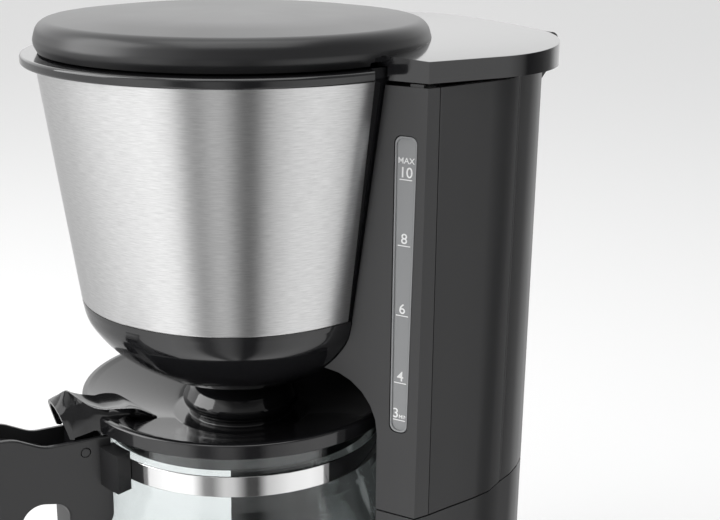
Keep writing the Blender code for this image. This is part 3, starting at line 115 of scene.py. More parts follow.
class Nodes:
    """A short way to write a node tree."""

    def __init__(self, tree):
        self.tree = tree

    def add(self, kind, inputs=None, **settings):
        node = self.tree.nodes.new(kind)
        for name, value in settings.items():
            setattr(node, name, value)
        for name, value in (inputs or {}).items():
            if isinstance(value, bpy.types.NodeSocket):
                self.tree.links.new(value, node.inputs[name])
            else:
                node.inputs[name].default_value = value
        return node

    def math(self, operation, first, second=0.0):
        node = self.add("ShaderNodeMath", operation=operation)
        for socket, value in zip(node.inputs, (first, second)):
            if isinstance(value, bpy.types.NodeSocket):
                self.tree.links.new(value, socket)
            else:
                socket.default_value = value
        return node.outputs[0]

    def ramp(self, factor, stops, interpolation="LINEAR"):
        node = self.add("ShaderNodeValToRGB", {"Fac": factor})
        ramp = node.color_ramp
        ramp.interpolation = interpolation
        while len(ramp.elements) < len(stops):
            ramp.elements.new(1.0)
        for element, (place, level) in zip(ramp.elements, stops):
            element.position = place
            element.color = (level, level, level, 1.0)
        return node.outputs["Color"]


def new_material(name, colour, roughness, metallic=0.0):
    material = bpy.data.materials.new(name)
    material.use_nodes = True
    shader = material.node_tree.nodes["Principled BSDF"]
    shader.inputs["Base Color"].default_value = (*colour, 1.0)
    shader.inputs["Roughness"].default_value = roughness
    shader.inputs["Metallic"].default_value = metallic
    return material, shader, Nodes(material.node_tree)


def bumped(nodes, shader, height, strength, distance):
    bump = nodes.add("ShaderNodeBump", {"Height": height, "Strength": strength, "Distance": distance})
    nodes.tree.links.new(bump.outputs["Normal"], shader.inputs["Normal"])


def object_space(nodes):
    return nodes.add("ShaderNodeTexCoord").outputs["Object"]


# ---------------------------------------------------------------- materials


def plastic(name, colour, roughness, grain_size, grain_strength, coat=0.0):
    """Moulded plastic: a fine grain in the surface and a faint unevenness in its gloss."""
    material, shader, nodes = new_material(name, colour, roughness)
    place = object_space(nodes)
    grain = nodes.add("ShaderNodeTexNoise", {"Vector": place, "Scale": 1.0 / grain_size, "Detail": 3.0})
    bumped(nodes, shader, grain.outputs["Fac"], grain_strength, 0.0002)
    smear = nodes.add("ShaderNodeTexNoise", {"Vector": place, "Scale": 22.0, "Detail": 4.0})
    low = nodes.math("MULTIPLY", smear.outputs["Fac"], roughness * 0.25)
    nodes.tree.links.new(nodes.math("ADD", low, roughness * 0.88), shader.inputs["Roughness"])
    shader.inputs["Coat Weight"].default_value = coat
    shader.inputs["Coat Roughness"].default_value = 0.04
    return material


def brushed_steel():
    """Steel sheet brushed round the cone: fine level scratches that draw each reflection out upwards."""
    material, shader, nodes = new_material("brushed steel", (0.66, 0.66, 0.66), 0.30, 1.0)
    split = nodes.add("ShaderNodeSeparateXYZ", {"Vector": object_space(nodes)})
    behind_axis = nodes.math("SUBTRACT", split.outputs["Y"], AXIS_Y)
    angle = nodes.math("ARCTAN2", behind_axis, split.outputs["X"])
    stretched = {
        "X": nodes.math("MULTIPLY", angle, 0.9),
        "Y": 0.0,
        "Z": nodes.math("MULTIPLY", split.outputs["Z"], 160.0),
    }
    grain_place = nodes.add("ShaderNodeCombineXYZ", stretched)
    grain = nodes.add(
        "ShaderNodeTexNoise",
        {"Vector": grain_place.outputs[0], "Scale": 14.0, "Detail": 5.0, "Roughness": 0.65},
    )
    bumped(nodes, shader, grain.outputs["Fac"], 0.10, 0.0003)
    tone = nodes.ramp(grain.outputs["Fac"], [(0.3, 0.56), (0.7, 0.74)])
    nodes.tree.links.new(tone, shader.inputs["Base Color"])
    shader.inputs["Anisotropic"].default_value = 0.75
    tangent = nodes.add("ShaderNodeTangent", direction_type="RADIAL", axis="Z")
    nodes.tree.links.new(tangent.outputs[0], shader.inputs["Tangent"])
    shader.inputs["Anisotropic Rotation"].default_value = 0.25
    return material


def polished_metal(name, colour, roughness):
    material, shader, nodes = new_material(name, colour, roughness, 1.0)
    wear = nodes.add("ShaderNodeTexNoise", {"Vector": object_space(nodes), "Scale": 400.0, "Detail": 4.0})
    spread = nodes.ramp(wear.outputs["Fac"], [(0.35, roughness * 0.8), (0.7, roughness * 1.4)])
    nodes.tree.links.new(spread, shader.inputs["Roughness"])
    return material


def clear_glass():
    material, shader, nodes = new_material("clear glass", (0.90, 0.93, 0.93), 0.0)
    shader.inputs["Transmission Weight"].default_value = 1.0
    shader.inputs["IOR"].default_value = 1.50
    ripple = nodes.add("ShaderNodeTexNoise", {"Vector": object_space(nodes), "Scale": 14.0, "Detail": 1.0})
    bumped(nodes, shader, ripple.outputs["Fac"], 0.06, 0.002)
    return material


MATERIALS = {
    "gloss_black": plastic("gloss black plastic", (0.010, 0.010, 0.011), 0.10, 0.0012, 0.012, 0.4),
    "dome_black": plastic("fine satin black plastic", (0.016, 0.016, 0.017), 0.30, 0.0007, 0.02),
    "satin_black": plastic("satin black plastic", (0.026, 0.026, 0.027), 0.30, 0.0009, 0.03),
    "brushed_steel": brushed_steel(),
    "polished_steel": polished_metal("polished steel", (0.80, 0.80, 0.80), 0.08),
    "glass": clear_glass(),
    "window_grey": plastic("level window plastic", (0.25, 0.255, 0.26), 0.25, 0.002, 0.02, 0.3),
    "translucent_tank": plastic("tank plastic", (0.50, 0.51, 0.52), 0.35, 0.0015, 0.04),
    "silicone": plastic("silicone", (0.62, 0.61, 0.58), 0.55, 0.0008, 0.06),
    "rubber": plastic("rubber", (0.025, 0.025, 0.025), 0.75, 0.0006, 0.15),
    "aluminium": polished_metal("cast aluminium", (0.60, 0.61, 0.62), 0.42),
    "hotplate_coating": plastic("hotplate coating", (0.030, 0.030, 0.032), 0.42, 0.0005, 0.20),
    "switch_red": plastic("switch red", (0.42, 0.02, 0.015), 0.22, 0.0015, 0.02, 0.3),
    "print_white": plastic("white print", (0.85, 0.85, 0.85), 0.45, 0.0008, 0.05),
}

# ---------------------------------------------------------------- paths


def rounded(points, steps=8):
    """A closed path whose corners that carry a radius, as (a, b, radius), become arcs."""
    path = []
    for index, point in enumerate(points):
        if len(point) == 2:
            path.append(Vector(point))
            continue
        here = Vector(point[:2])
        before = Vector(points[index - 1][:2]) - here
        after = Vector(points[(index + 1) % len(points)][:2]) - here
        half = before.angle(after) / 2
        reach = min(point[2] / math.tan(half), 0.49 * before.length, 0.49 * after.length)
        radius = reach * math.tan(half)
        start = here + before.normalized() * reach
        centre = here + (before.normalized() + after.normalized()).normalized() * (radius / math.sin(half))
        turn = (start - centre).angle_signed(here + after.normalized() * reach - centre)
        for step in range(steps + 1):
            path.append(centre + Matrix.Rotation(-turn * step / steps, 2) @ (start - centre))
    return path


def spline(points, steps=8):
    """A smooth path through the points, by Catmull and Rom."""
    points = [Vector(p) for p in points]
    ends = [2 * points[0] - points[1], *points, 2 * points[-1] - points[-2]]
    path = []
    for a, b, c, d in zip(ends, ends[1:], ends[2:], ends[3:]):
        for step in range(steps):
            t = step / steps
            square = (2 * a - 5 * b + 4 * c - d) * t**2
            cube = (3 * b - a - 3 * c + d) * t**3
            path.append(0.5 * (2 * b + (c - a) * t + square + cube))
    return [*path, points[-1]]


def arc(centre, radius, start, end, steps):
    angles = [math.radians(start + (end - start) * step / steps) for step in range(steps + 1)]
    return [Vector((centre[0] + radius * math.cos(a), centre[1] + radius * math.sin(a))) for a in angles]


def inset(path, distance):
    """A closed anticlockwise outline moved inwards by a distance, each edge parallel to itself."""
    moved = []
    for index, here in enumerate(path):
        first = (here - path[index - 1]).normalized()
        second = (path[(index + 1) % len(path)] - here).normalized()
        one, two = Vector((-first.y, first.x)), Vector((-second.y, second.x))
        moved.append(here + (one + two) * (distance / (1 + one.dot(two))))
    return moved


def mirrored(half):
    return [*half, *[Vector((-p.x, p.y)) for p in reversed(half) if p.x > 1e-6]]


def flank_y(x):
    return CORNER.y + (x - CORNER.x) * math.tan(FLANK_SLOPE)


def cone_radius(z):
    """The outer radius of the steel wrap at a height."""
    share = (z - STEEL_BOTTOM_Z) / (RIM_UNDER_Z - STEEL_BOTTOM_Z)
    return STEEL_RADII[0] + (STEEL_RADII[1] - STEEL_RADII[0]) * share


def spread_point(x, y, z):
    """A point of the straight column, moved by the column's draft."""
    rise = z - SEAM_Z
    return Vector((x * (1 + COLUMN_SPREAD * rise), y + COLUMN_LEAN * rise, z))


# ---------------------------------------------------------------- meshes


def mesh_object(name, build):
    mesh = bpy.data.meshes.new(name)
    bmesh.ops.recalc_face_normals(build, faces=build.faces)
    build.to_mesh(mesh)
    build.free()
    obj = bpy.data.objects.new(name, mesh)
    bpy.context.scene.collection.objects.link(obj)
    return obj


def turned(name, profile, steps=144, start=0.0, sweep=360.0, centre=(0.0, 0.0)):
    """A solid of revolution about an upright axis: the closed profile is a list of (radius, height)."""
    build = bmesh.new()
    whole = sweep == 360.0
    count = steps if whole else steps + 1
    poles = {i: build.verts.new((*centre, p[1])) for i, p in enumerate(profile) if p[0] < 1e-7}
    rings = []
    for step in range(count):
        angle = math.radians(start + sweep * step / steps)
        c, s = math.cos(angle), math.sin(angle)
        rings.append([
            poles.get(i) or build.verts.new((centre[0] + p[0] * c, centre[1] + p[0] * s, p[1]))
            for i, p in enumerate(profile)
        ])
    for step in range(steps):
        here, there = rings[step], rings[(step + 1) % count]
        for i in range(len(profile)):
            j = (i + 1) % len(profile)
            if i in poles and j in poles:
                continue
            corners = dict.fromkeys((here[i], here[j], there[j], there[i]))
            build.faces.new(list(corners))
    if not whole:
        build.faces.new(rings[0])
        build.faces.new(rings[-1])
    return mesh_object(name, build)


def ring(name, inner, outer, bottom, top, steps=144, **where):
    return turned(name, [(inner, top), (outer, top), (outer, bottom), (inner, bottom)], steps, **where)


def disc(name, radius, bottom, top, steps=144, **where):
    return turned(name, [(0.0, top), (radius, top), (radius, bottom), (0.0, bottom)], steps, **where)


def prism(name, outline, bottom, top):
    build = bmesh.new()
    low = [build.verts.new((p[0], p[1], bottom)) for p in outline]
    high = [build.verts.new((p[0], p[1], top)) for p in outline]
    build.faces.new(low)
    build.faces.new(high)
    for i in range(len(outline)):
        j = (i + 1) % len(outline)
        build.faces.new((low[i], low[j], high[j], high[i]))
    return mesh_object(name, build)


def side_prism(name, outline, half_width, middle=0.0):
    """A prism across the machine: the outline is a list of (y, z)."""
    obj = prism(name, outline, -half_width, half_width)
    obj.data.transform(Matrix(((0, 0, 1, middle), (1, 0, 0, 0), (0, 1, 0, 0), (0, 0, 0, 1))))
    return obj


def block(name, low, high):
    size = Vector(high) - Vector(low)
    build = bmesh.new()
    where = Matrix.Translation((Vector(high) + Vector(low)) / 2) @ Matrix.Diagonal((*size, 1.0))
    bmesh.ops.create_cube(build, size=1.0, matrix=where)
    return mesh_object(name, build)


def rod(name, radius, start, end, segments=32):
    start, end = Vector(start), Vector(end)
    build = bmesh.new()
    turn = (end - start).to_track_quat("Z", "Y").to_matrix().to_4x4()
    bmesh.ops.create_cone(
        build, cap_ends=True, segments=segments, radius1=radius, radius2=radius, depth=(end - start).length,
        matrix=Matrix.Translation((start + end) / 2) @ turn,
    )
    return mesh_object(name, build)


def loft(name, sections):
    """A closed solid through sections that have the same number of points."""
    build = bmesh.new()
    rows = [[build.verts.new(p) for p in section] for section in sections]
    count = len(rows[0])
    for a, b in zip(rows, rows[1:]):
        for i in range(count):
            j = (i + 1) % count
            build.faces.new((a[i], a[j], b[j], b[i]))
    build.faces.new(rows[0])
    build.faces.new(rows[-1])
    return mesh_object(name, build)


def combine(target, operation, *others):
    """Runs Booleans and keeps their result as the target's mesh."""
    for other in others:
        modifier = target.modifiers.new(operation, "BOOLEAN")
        modifier.operation = operation
        modifier.object = other
        modifier.solver = "EXACT"
    bpy.context.view_layer.update()
    result = bpy.data.meshes.new_from_object(target.evaluated_get(bpy.context.evaluated_depsgraph_get()))
    target.modifiers.clear()
    target.data = result
    for other in others:
        bpy.data.objects.remove(other, do_unlink=True)
    return target


def polish(obj, bevel=0.0003, angle=32.0, segments=2, merge=1e-6):
    """Joins loose corners and flat triangles, rounds the edges and shades the rest smooth."""
    build = bmesh.new()
    build.from_mesh(obj.data)
    bmesh.ops.remove_doubles(build, verts=build.verts, dist=merge)
    bmesh.ops.dissolve_limit(build, angle_limit=math.radians(0.15), verts=build.verts, edges=build.edges)
    build.to_mesh(obj.data)
    build.free()
    if "custom_normal" in obj.data.attributes:
        obj.data.attributes.remove(obj.data.attributes["custom_normal"])
    obj.data.shade_smooth()
    obj.data.set_sharp_from_angle(angle=math.radians(angle))
    if bevel:
        edges = obj.modifiers.new("edges", "BEVEL")
        edges.limit_method = "ANGLE"
        edges.angle_limit = math.radians(angle)
        edges.width = bevel
        edges.segments = segments
        edges.harden_normals = False
    flats = obj.modifiers.new("flats", "WEIGHTED_NORMAL")
    flats.keep_sharp = True
    return obj


def finish_piece(obj, name, body, material, stands_for=()):
    """Names a piece, puts it on its body and gives it its material."""
    obj.name = name
    obj.data.name = name
    obj.data.materials.clear()
    obj.data.materials.append(MATERIALS[material])
    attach(obj, body)
    if stands_for:
        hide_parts(*stands_for)
    return obj


def from_axis(obj):
    """Moves a mesh made round the axis to its place in the row frame."""
    obj.data.transform(Matrix.Translation((0.0, AXIS_Y, 0.0)))
    return obj


SUBPARTS = {entry["node"]: entry["material_slot"] for entry in frame["record"]["subparts"]}


def refined(node_name, bevel=0.0003, angle=32.0, segments=2, cutters=()):
    """A welded copy of a CAD node with rounded edges, which stands for it."""
    node = frame["nodes"][node_name]
    body = body_of(node)[0]
    copy = bpy.data.objects.new(f"{node_name}_fine", node.data.copy())
    bpy.context.scene.collection.objects.link(copy)
    if cutters:
        polish(copy, 0.0)
        copy.modifiers.clear()
        combine(copy, "DIFFERENCE", *cutters)
    polish(copy, bevel, angle, segments)
    return finish_piece(copy, f"{node_name}_fine", body, SUBPARTS[node_name], stands_for=[node_name])


# ---------------------------------------------------------------- lid


def step_back(side):
    """The corner of the rim and the dome that stands clear of the lid's flank panel."""
    (x1, y1), (x2, y2) = (0.0660, 0.0236), (0.0845, 0.0180)
    slope = (y2 - y1) / (x2 - x1)
    outline = [
        (x1, y1), (0.110, y1 + (0.110 - x1) * slope), (0.110, flank_y(0.110) + 0.02), (x1, flank_y(x1) + 0.02)
    ]
    return prism(
        "step_back", [(side * x, y) for x, y in outline], RIM_UNDER_Z - 0.0002, DOME_BOTTOM_Z + 0.0016
    )


def above_crown(depth):
    """Everything above the deck's crowned top, or above a surface at a depth under it."""
    half_width = 0.0913
    radius = (half_width**2 + LID_CROWN**2) / (2 * LID_CROWN)
    reach = math.degrees(math.asin(0.1 / radius))
    edge = arc((0.0, LID_DECK_Z + LID_CROWN - radius), radius - depth, 90 - reach, 90 + reach, 40)
    obj = prism(
        "above_crown", [*edge, Vector((-0.1, LID_DECK_Z + 0.05)), Vector((0.1, LID_DECK_Z + 0.05))], -0.2, 0.2
    )
    obj.data.transform(Matrix.Rotation(math.radians(90), 4, "X"))
    return obj


def build_lid():
    wall = 0.0025
    dome = rounded(
        [
            (0.0, CROWN_Z), (0.0300, CROWN_Z - 0.0003), (0.0560, CROWN_Z - 0.0014, 0.2),
            (0.0790, CROWN_Z - 0.0042, 0.0090), (DOME_RADIUS, LID_DECK_Z + 0.0012, 0.0060),
            (DOME_RADIUS - 0.0020, DOME_BOTTOM_Z, 0.0004), (0.0, DOME_BOTTOM_Z),
        ],
        10,
    )
    lid = combine(turned("lid", dome, 160), "DIFFERENCE", step_back(-1), step_back(1))
    corner, panel_x = Vector((0.0913, 0.0370)), 0.0670
    panel_y = corner.y - (corner.x - panel_x) * math.tan(FLANK_SLOPE)
    half = [Vector((panel_x, panel_y)), corner, *arc((0.0325, 0.0690), 0.0580, 0, 90, 32)]
    deck = prism("deck", mirrored(half), LID_SKIRT_Z, LID_DECK_Z + LID_CROWN + 0.001)
    combine(deck, "DIFFERENCE", above_crown(0.0))
    deck_room = prism("deck_room", inset(mirrored(half), wall), LID_SKIRT_Z - 0.01, LID_DECK_Z + LID_CROWN)
    combine(deck_room, "DIFFERENCE", above_crown(wall))
    dome_room = turned("dome_room", rounded([
        (0.0, CROWN_Z - wall), (0.0300, CROWN_Z - wall - 0.0003), (0.0740, CROWN_Z - wall - 0.0040, 0.0060),
        (DOME_RADIUS - wall, LID_DECK_Z + 0.0010), (0.0772, DOME_BOTTOM_Z + 0.0008),
        (0.0772, LID_SKIRT_Z - 0.012), (0.0, LID_SKIRT_Z - 0.012),
    ], 6), 96)
    notches = [
        disc(
            "notch", 0.0058, LID_SKIRT_Z - 0.01, FUNNEL_RIM_Z + GAP * 2, 48, centre=(side * panel_x, panel_y)
        )
        for side in (-1, 1)
    ]
    rim_room = disc("rim_room", 0.0813, LID_SKIRT_Z - 0.011, FUNNEL_RIM_Z + GAP, 144)
    combine(lid, "UNION", deck)
    combine(lid, "DIFFERENCE", deck_room, dome_room, rim_room, *notches)
    eye_y, eye_z = LID_HINGE
    eye_r = KNUCKLE_RADIUS
    for side in (-1, 1):
        outline = [
            *arc((eye_y, eye_z), eye_r, -90, 90, 16),
            Vector((0.1257, eye_z + eye_r - 0.0014)),
            Vector((0.1257, eye_z - eye_r)),
        ]
        combine(lid, "UNION", side_prism("eye", outline, 0.0055, side * (0.0300 - 0.0055 - GAP)))
    combine(lid, "DIFFERENCE", rod("bore", 0.0015, (-0.06, eye_y, eye_z), (0.06, eye_y, eye_z)))
    polish(from_axis(lid), 0.0005, 30, 3)
    finish_piece(lid, "lid_fine", "lid", "gloss_black", stands_for=["lid_shell"])
    lid.data.materials.append(MATERIALS["dome_black"])
    for face in lid.data.polygons:
        flat = Vector((face.center.x, face.center.y - AXIS_Y))
        crown_here = LID_DECK_Z + LID_CROWN * (1 - (flat.x / 0.0913) ** 2)
        above_deck = face.center.z > crown_here + 0.0001 or face.center.y < AXIS_Y + flank_y(0.0670)
        if flat.length < DOME_RADIUS + 0.0001 and face.center.z > DOME_BOTTOM_Z - 0.0001 and above_deck:
            face.material_index = 1


# ---------------------------------------------------------------- funnel


def bowl_path(offset=0.0):
    z = BOWL_BOTTOM_Z
    points = [
        (0.0670, z + 0.0361), (0.0640, z + 0.0264), (0.0534, z + 0.0141), (0.0356, z + 0.0027), (0.0240, z)
    ]
    return [(p[0] - offset * (1 - i / 8), p[1] + offset * i / 4) for i, p in enumerate(points)]


def build_funnel():
    thickness, wall, flange, mouth = 0.0008, 0.0025, 0.0864, 0.0760
    behind = thickness + GAP
    outer = [
        (mouth, FUNNEL_RIM_Z, 0.0008), (flange, FUNNEL_RIM_Z, 0.0012), (flange, RIM_UNDER_Z, 0.0012),
        (STEEL_RADII[1] - behind, RIM_UNDER_Z), (STEEL_RADII[0] - behind, STEEL_BOTTOM_Z - GAP),
        (STEEL_RADII[0], STEEL_BOTTOM_Z - GAP, 0.0004),
    ]
    inner = [
        (0.0085, BOWL_BOTTOM_Z), (0.0085, BOWL_BOTTOM_Z + wall), *reversed(spline(bowl_path(wall), 6)),
        (STEEL_RADII[1] - behind - wall, RIM_UNDER_Z - 0.0006), (mouth, RIM_UNDER_Z + 0.0008),
    ]
    funnel = turned("funnel", [*rounded(outer, 6), *spline(bowl_path(), 10)[1:], *inner], 144)
    riser = Vector((-0.0775, 0.0410, 0.0))
    way = -riser.normalized() * 0.012
    start = riser + Vector((0.0, 0.0, 0.3090)) - way
    cutters = [rod("outlet_way", 0.0040, start, start + way * 2.2)]
    for side in (-1, 1):
        keep = disc("keep", STEEL_RADII[1] - 0.0002, FUNNEL_RIM_Z - 0.03, FUNNEL_RIM_Z + 0.03)
        cutters.append(combine(step_back(side), "DIFFERENCE", keep))
    rear = ring("rear", STEEL_RADII[1] - 0.0002, 0.100, RIM_UNDER_Z - 0.0003, FUNNEL_RIM_Z + 0.01)
    cutters.append(combine(rear, "DIFFERENCE", block("ahead", (-0.2, -0.2, 0.30), (0.2, 0.0276, 0.34))))
    combine(funnel, "DIFFERENCE", *cutters)
    polish(from_axis(funnel), 0.0003, 30)
    finish_piece(funnel, "funnel_fine", "machine", "gloss_black", stands_for=["funnel_housing"])

    low, high, hem = STEEL_BOTTOM_Z, RIM_UNDER_Z - GAP, 0.0006
    skin = rounded([
        (cone_radius(high), high, 0.0003), (cone_radius(low + hem) + 0.0001, low + hem, 0.001),
        (cone_radius(low) - 0.0002, low, 0.0003),
        (cone_radius(low) - thickness, low, 0.0002), (cone_radius(high) - thickness, high, 0.0002),
    ], 4)
    wrap = turned("wrap", skin, 180, -196.0, 212.0)
    polish(from_axis(wrap), 0.0, 40)
    finish_piece(wrap, "steel_wrap_fine", "machine", "brushed_steel", stands_for=["steel_wrap"])


# ---------------------------------------------------------------- column


def on_flank(obj, proud):
    """Takes a flat mesh, drawn across and up, to the right-hand flank: its depth runs out of the face."""
    along = Vector((math.cos(FLANK_SLOPE), math.sin(FLANK_SLOPE)))
    outward = Vector((along.y, -along.x))
    middle = CORNER - along * WINDOW_FROM_CORNER
    for vertex in obj.data.vertices:
        across, up, out = vertex.co
        flat = middle + along * across + outward * (out + proud)
        vertex.co = spread_point(flat.x, flat.y, up)
    return from_axis(obj)


def build_window():
    bottom, top, low, high = 0.0041, 0.0050, 0.1770, 0.2980
    def slot(grow):
        return rounded(
            [
                (-bottom - grow, low - grow, 0.003), (bottom + grow, low - grow, 0.003),
                (top + grow, high + grow, 0.003), (-top - grow, high + grow, 0.003),
            ],
            10,
        )
    glazing = prism("glazing", slot(-GAP), -0.0029, -WINDOW_RECESS)
    rim = combine(
        prism("rim", slot(-GAP), -WINDOW_RECESS - 0.0004, -0.0002), "DIFFERENCE",
        prism("rim_inside", slot(-0.0010), -WINDOW_RECESS - 0.01, 0.01),
    )
    polish(on_flank(glazing, 0.0), 0.0001)
    finish_piece(glazing, "level_window_fine", "machine", "window_grey", stands_for=["level_window"])
    polish(on_flank(rim, 0.0), 0.0001)
    finish_piece(rim, "level_window_rim", "machine", "window_grey")


LEVELS = {"10": 0.2809, "8": 0.2548, "6": 0.2264, "4": 0.1982, "3": 0.1823}


def print_text(name, words, size, across, up):
    """Flat lettering printed on the level window."""
    curve = bpy.data.curves.new(name, "FONT")
    curve.body = words
    curve.size = size
    curve.align_x = "CENTER"
    curve.extrude = 0.00003
    curve.offset = size * 0.008
    text = bpy.data.objects.new(name, curve)
    bpy.context.scene.collection.objects.link(text)
    bpy.context.view_layer.update()
    made = bpy.data.meshes.new_from_object(text.evaluated_get(bpy.context.evaluated_depsgraph_get()))
    made.transform(Matrix.Translation((across, up, 0.0)))
    bpy.data.objects.remove(text, do_unlink=True)
    obj = bpy.data.objects.new(name, made)
    bpy.context.scene.collection.objects.link(obj)
    return finish_piece(on_flank(obj, -WINDOW_RECESS + 0.00004), name, "machine", "print_white")


def build_marks():
    for words, height in LEVELS.items():
        bar = prism(
            f"bar_{words}",
            rounded(
                [
                    (-0.0027, height - 0.0002), (0.0027, height - 0.0002), (0.0027, height + 0.0002),
                    (-0.0027, height + 0.0002),
                ],
            ),
            -0.00003,
            0.00003,
        )
        finish_piece(
            on_flank(bar, -WINDOW_RECESS + 0.00004),
            f"level_bar_{words}",
            "machine",
            "print_white",
        )
        across = -0.0016 if words == "3" else 0.0
        print_text(f"level_number_{words}", words, 0.0058, across, height + 0.0009)
    print_text("level_minimum", "MIN", 0.0022, 0.0018, LEVELS["3"] + 0.0009)
    print_text("level_maximum", "MAX", 0.0033, 0.0, 0.2872)


def build_column():
    refined("column_front", 0.0004, 30, 3)
    x, y = 0.0779, 0.0868
    grooves = []
    for side in (-1, 1):
        low, high = spread_point(side * x, y, SEAM_Z - 0.01), spread_point(side * x, y, 0.3300)
        shift = Vector((0.0, AXIS_Y, 0.0))
        grooves.append(rod("groove", 0.0009, low + shift, high + shift, 16))
    refined("tank_shell", 0.0003, 30, 2, cutters=grooves)
    build_window()
    build_marks()


# ---------------------------------------------------------------- jug


def glass_outline(steps):
    z = JUG_BOTTOM_Z
    curve = spline(
        [
            (0.0695, z + 0.0160), (0.0715, z + 0.0400), (0.0703, z + 0.0680), (0.0655, z + 0.0900),
            (0.0615, 0.1449),
        ],
        steps,
    )
    foot = rounded([(0.0, z), (0.0685, z, 0.0120), (0.0695, z + 0.0160)], steps)[1:-1]
    return [
        Vector((0.0, z)),
        *foot,
        *curve,
        Vector((0.0615, JUG_RIM_Z - 0.001)),
        Vector((0.0613, JUG_RIM_Z - 0.0003)),
    ]


def build_glass():
    outer = glass_outline(8)
    moved = []
    for before, here, after in zip(outer, outer[1:], outer[2:]):
        way = (after - before).normalized()
        moved.append(here + Vector((-way.y, way.x)) * 0.0022)
    inner = [Vector((0.0, outer[0].y + 0.0022)), *moved[:-1], Vector((0.0595, JUG_RIM_Z - 0.0003))]
    lip = [Vector((0.0609, JUG_RIM_Z)), Vector((0.0598, JUG_RIM_Z))]
    glass = turned("glass", [*outer, *lip, *reversed(inner)], 144)
    polish(from_axis(glass), 0.0, 60)
    finish_piece(glass, "jug_glass_fine", "jug", "glass", stands_for=["jug_glass"])


def build_jug_lid():
    skin, plug, rim, hub = 0.0022, 0.0581, JUG_LID_TOP_Z, HUB_TOP_Z
    top = rounded(
        [
            (0.0, hub - 0.0002), (0.0130, hub - 0.0003, 0.004), (0.0220, hub - 0.0050, 0.006),
            (0.0265, hub - 0.0122, 0.004), (0.0226, hub - 0.0165, 0.001), (0.0226, DISH_Z, 0.002),
            (0.0300, DISH_Z, 0.004), (0.0645, rim - 0.0010, 0.004), (0.0668, rim, 0.0008),
            (0.0690, rim, 0.0009), (0.0690, JUG_RIM_Z + 0.0004, 0.0006),
        ],
        8,
    )
    below = [
        (plug, JUG_RIM_Z + 0.0004), (plug, DISH_Z - 0.0030), (plug - 0.0020, DISH_Z - 0.0030),
        (plug - 0.0020, rim - 0.0076), (0.0310, DISH_Z - skin), (0.0204, DISH_Z - skin),
        (0.0204, hub - 0.0158), (0.0243, hub - 0.0128), (0.0200, hub - 0.0062),
        (0.0120, hub - skin - 0.0002), (0.0, hub - skin - 0.0001),
    ]
    lid = turned("jug_lid", [*top, *[Vector(p) for p in below]], 144)
    direction = math.radians(-24)
    outward = Vector((math.cos(direction), math.sin(direction), 0.0))
    across = Vector((-outward.y, outward.x, 0.0))
    pill = prism(
        "recess",
        rounded(
            [
                (-0.0105, -0.0024, 0.0023), (0.0105, -0.0024, 0.0023), (0.0105, 0.0024, 0.0023),
                (-0.0105, 0.0024, 0.0023),
            ],
            8,
        ),
        0.0180,
        0.0285,
    )
    pill.data.transform(Matrix((
        (across.x, 0.0, outward.x, 0.0), (across.y, 0.0, outward.y, 0.0), (0.0, 1.0, 0.0, DISH_Z + 0.0058),
        (0.0, 0.0, 0.0, 1.0),
    )))
    combine(pill, "DIFFERENCE", disc("core", 0.0265 - 0.0012, DISH_Z - 0.01, HUB_TOP_Z))
    combine(lid, "DIFFERENCE", pill)
    polish(from_axis(lid), 0.0003, 32, 3)
    finish_piece(lid, "jug_lid_fine", "jug", "gloss_black", stands_for=["jug_lid"])


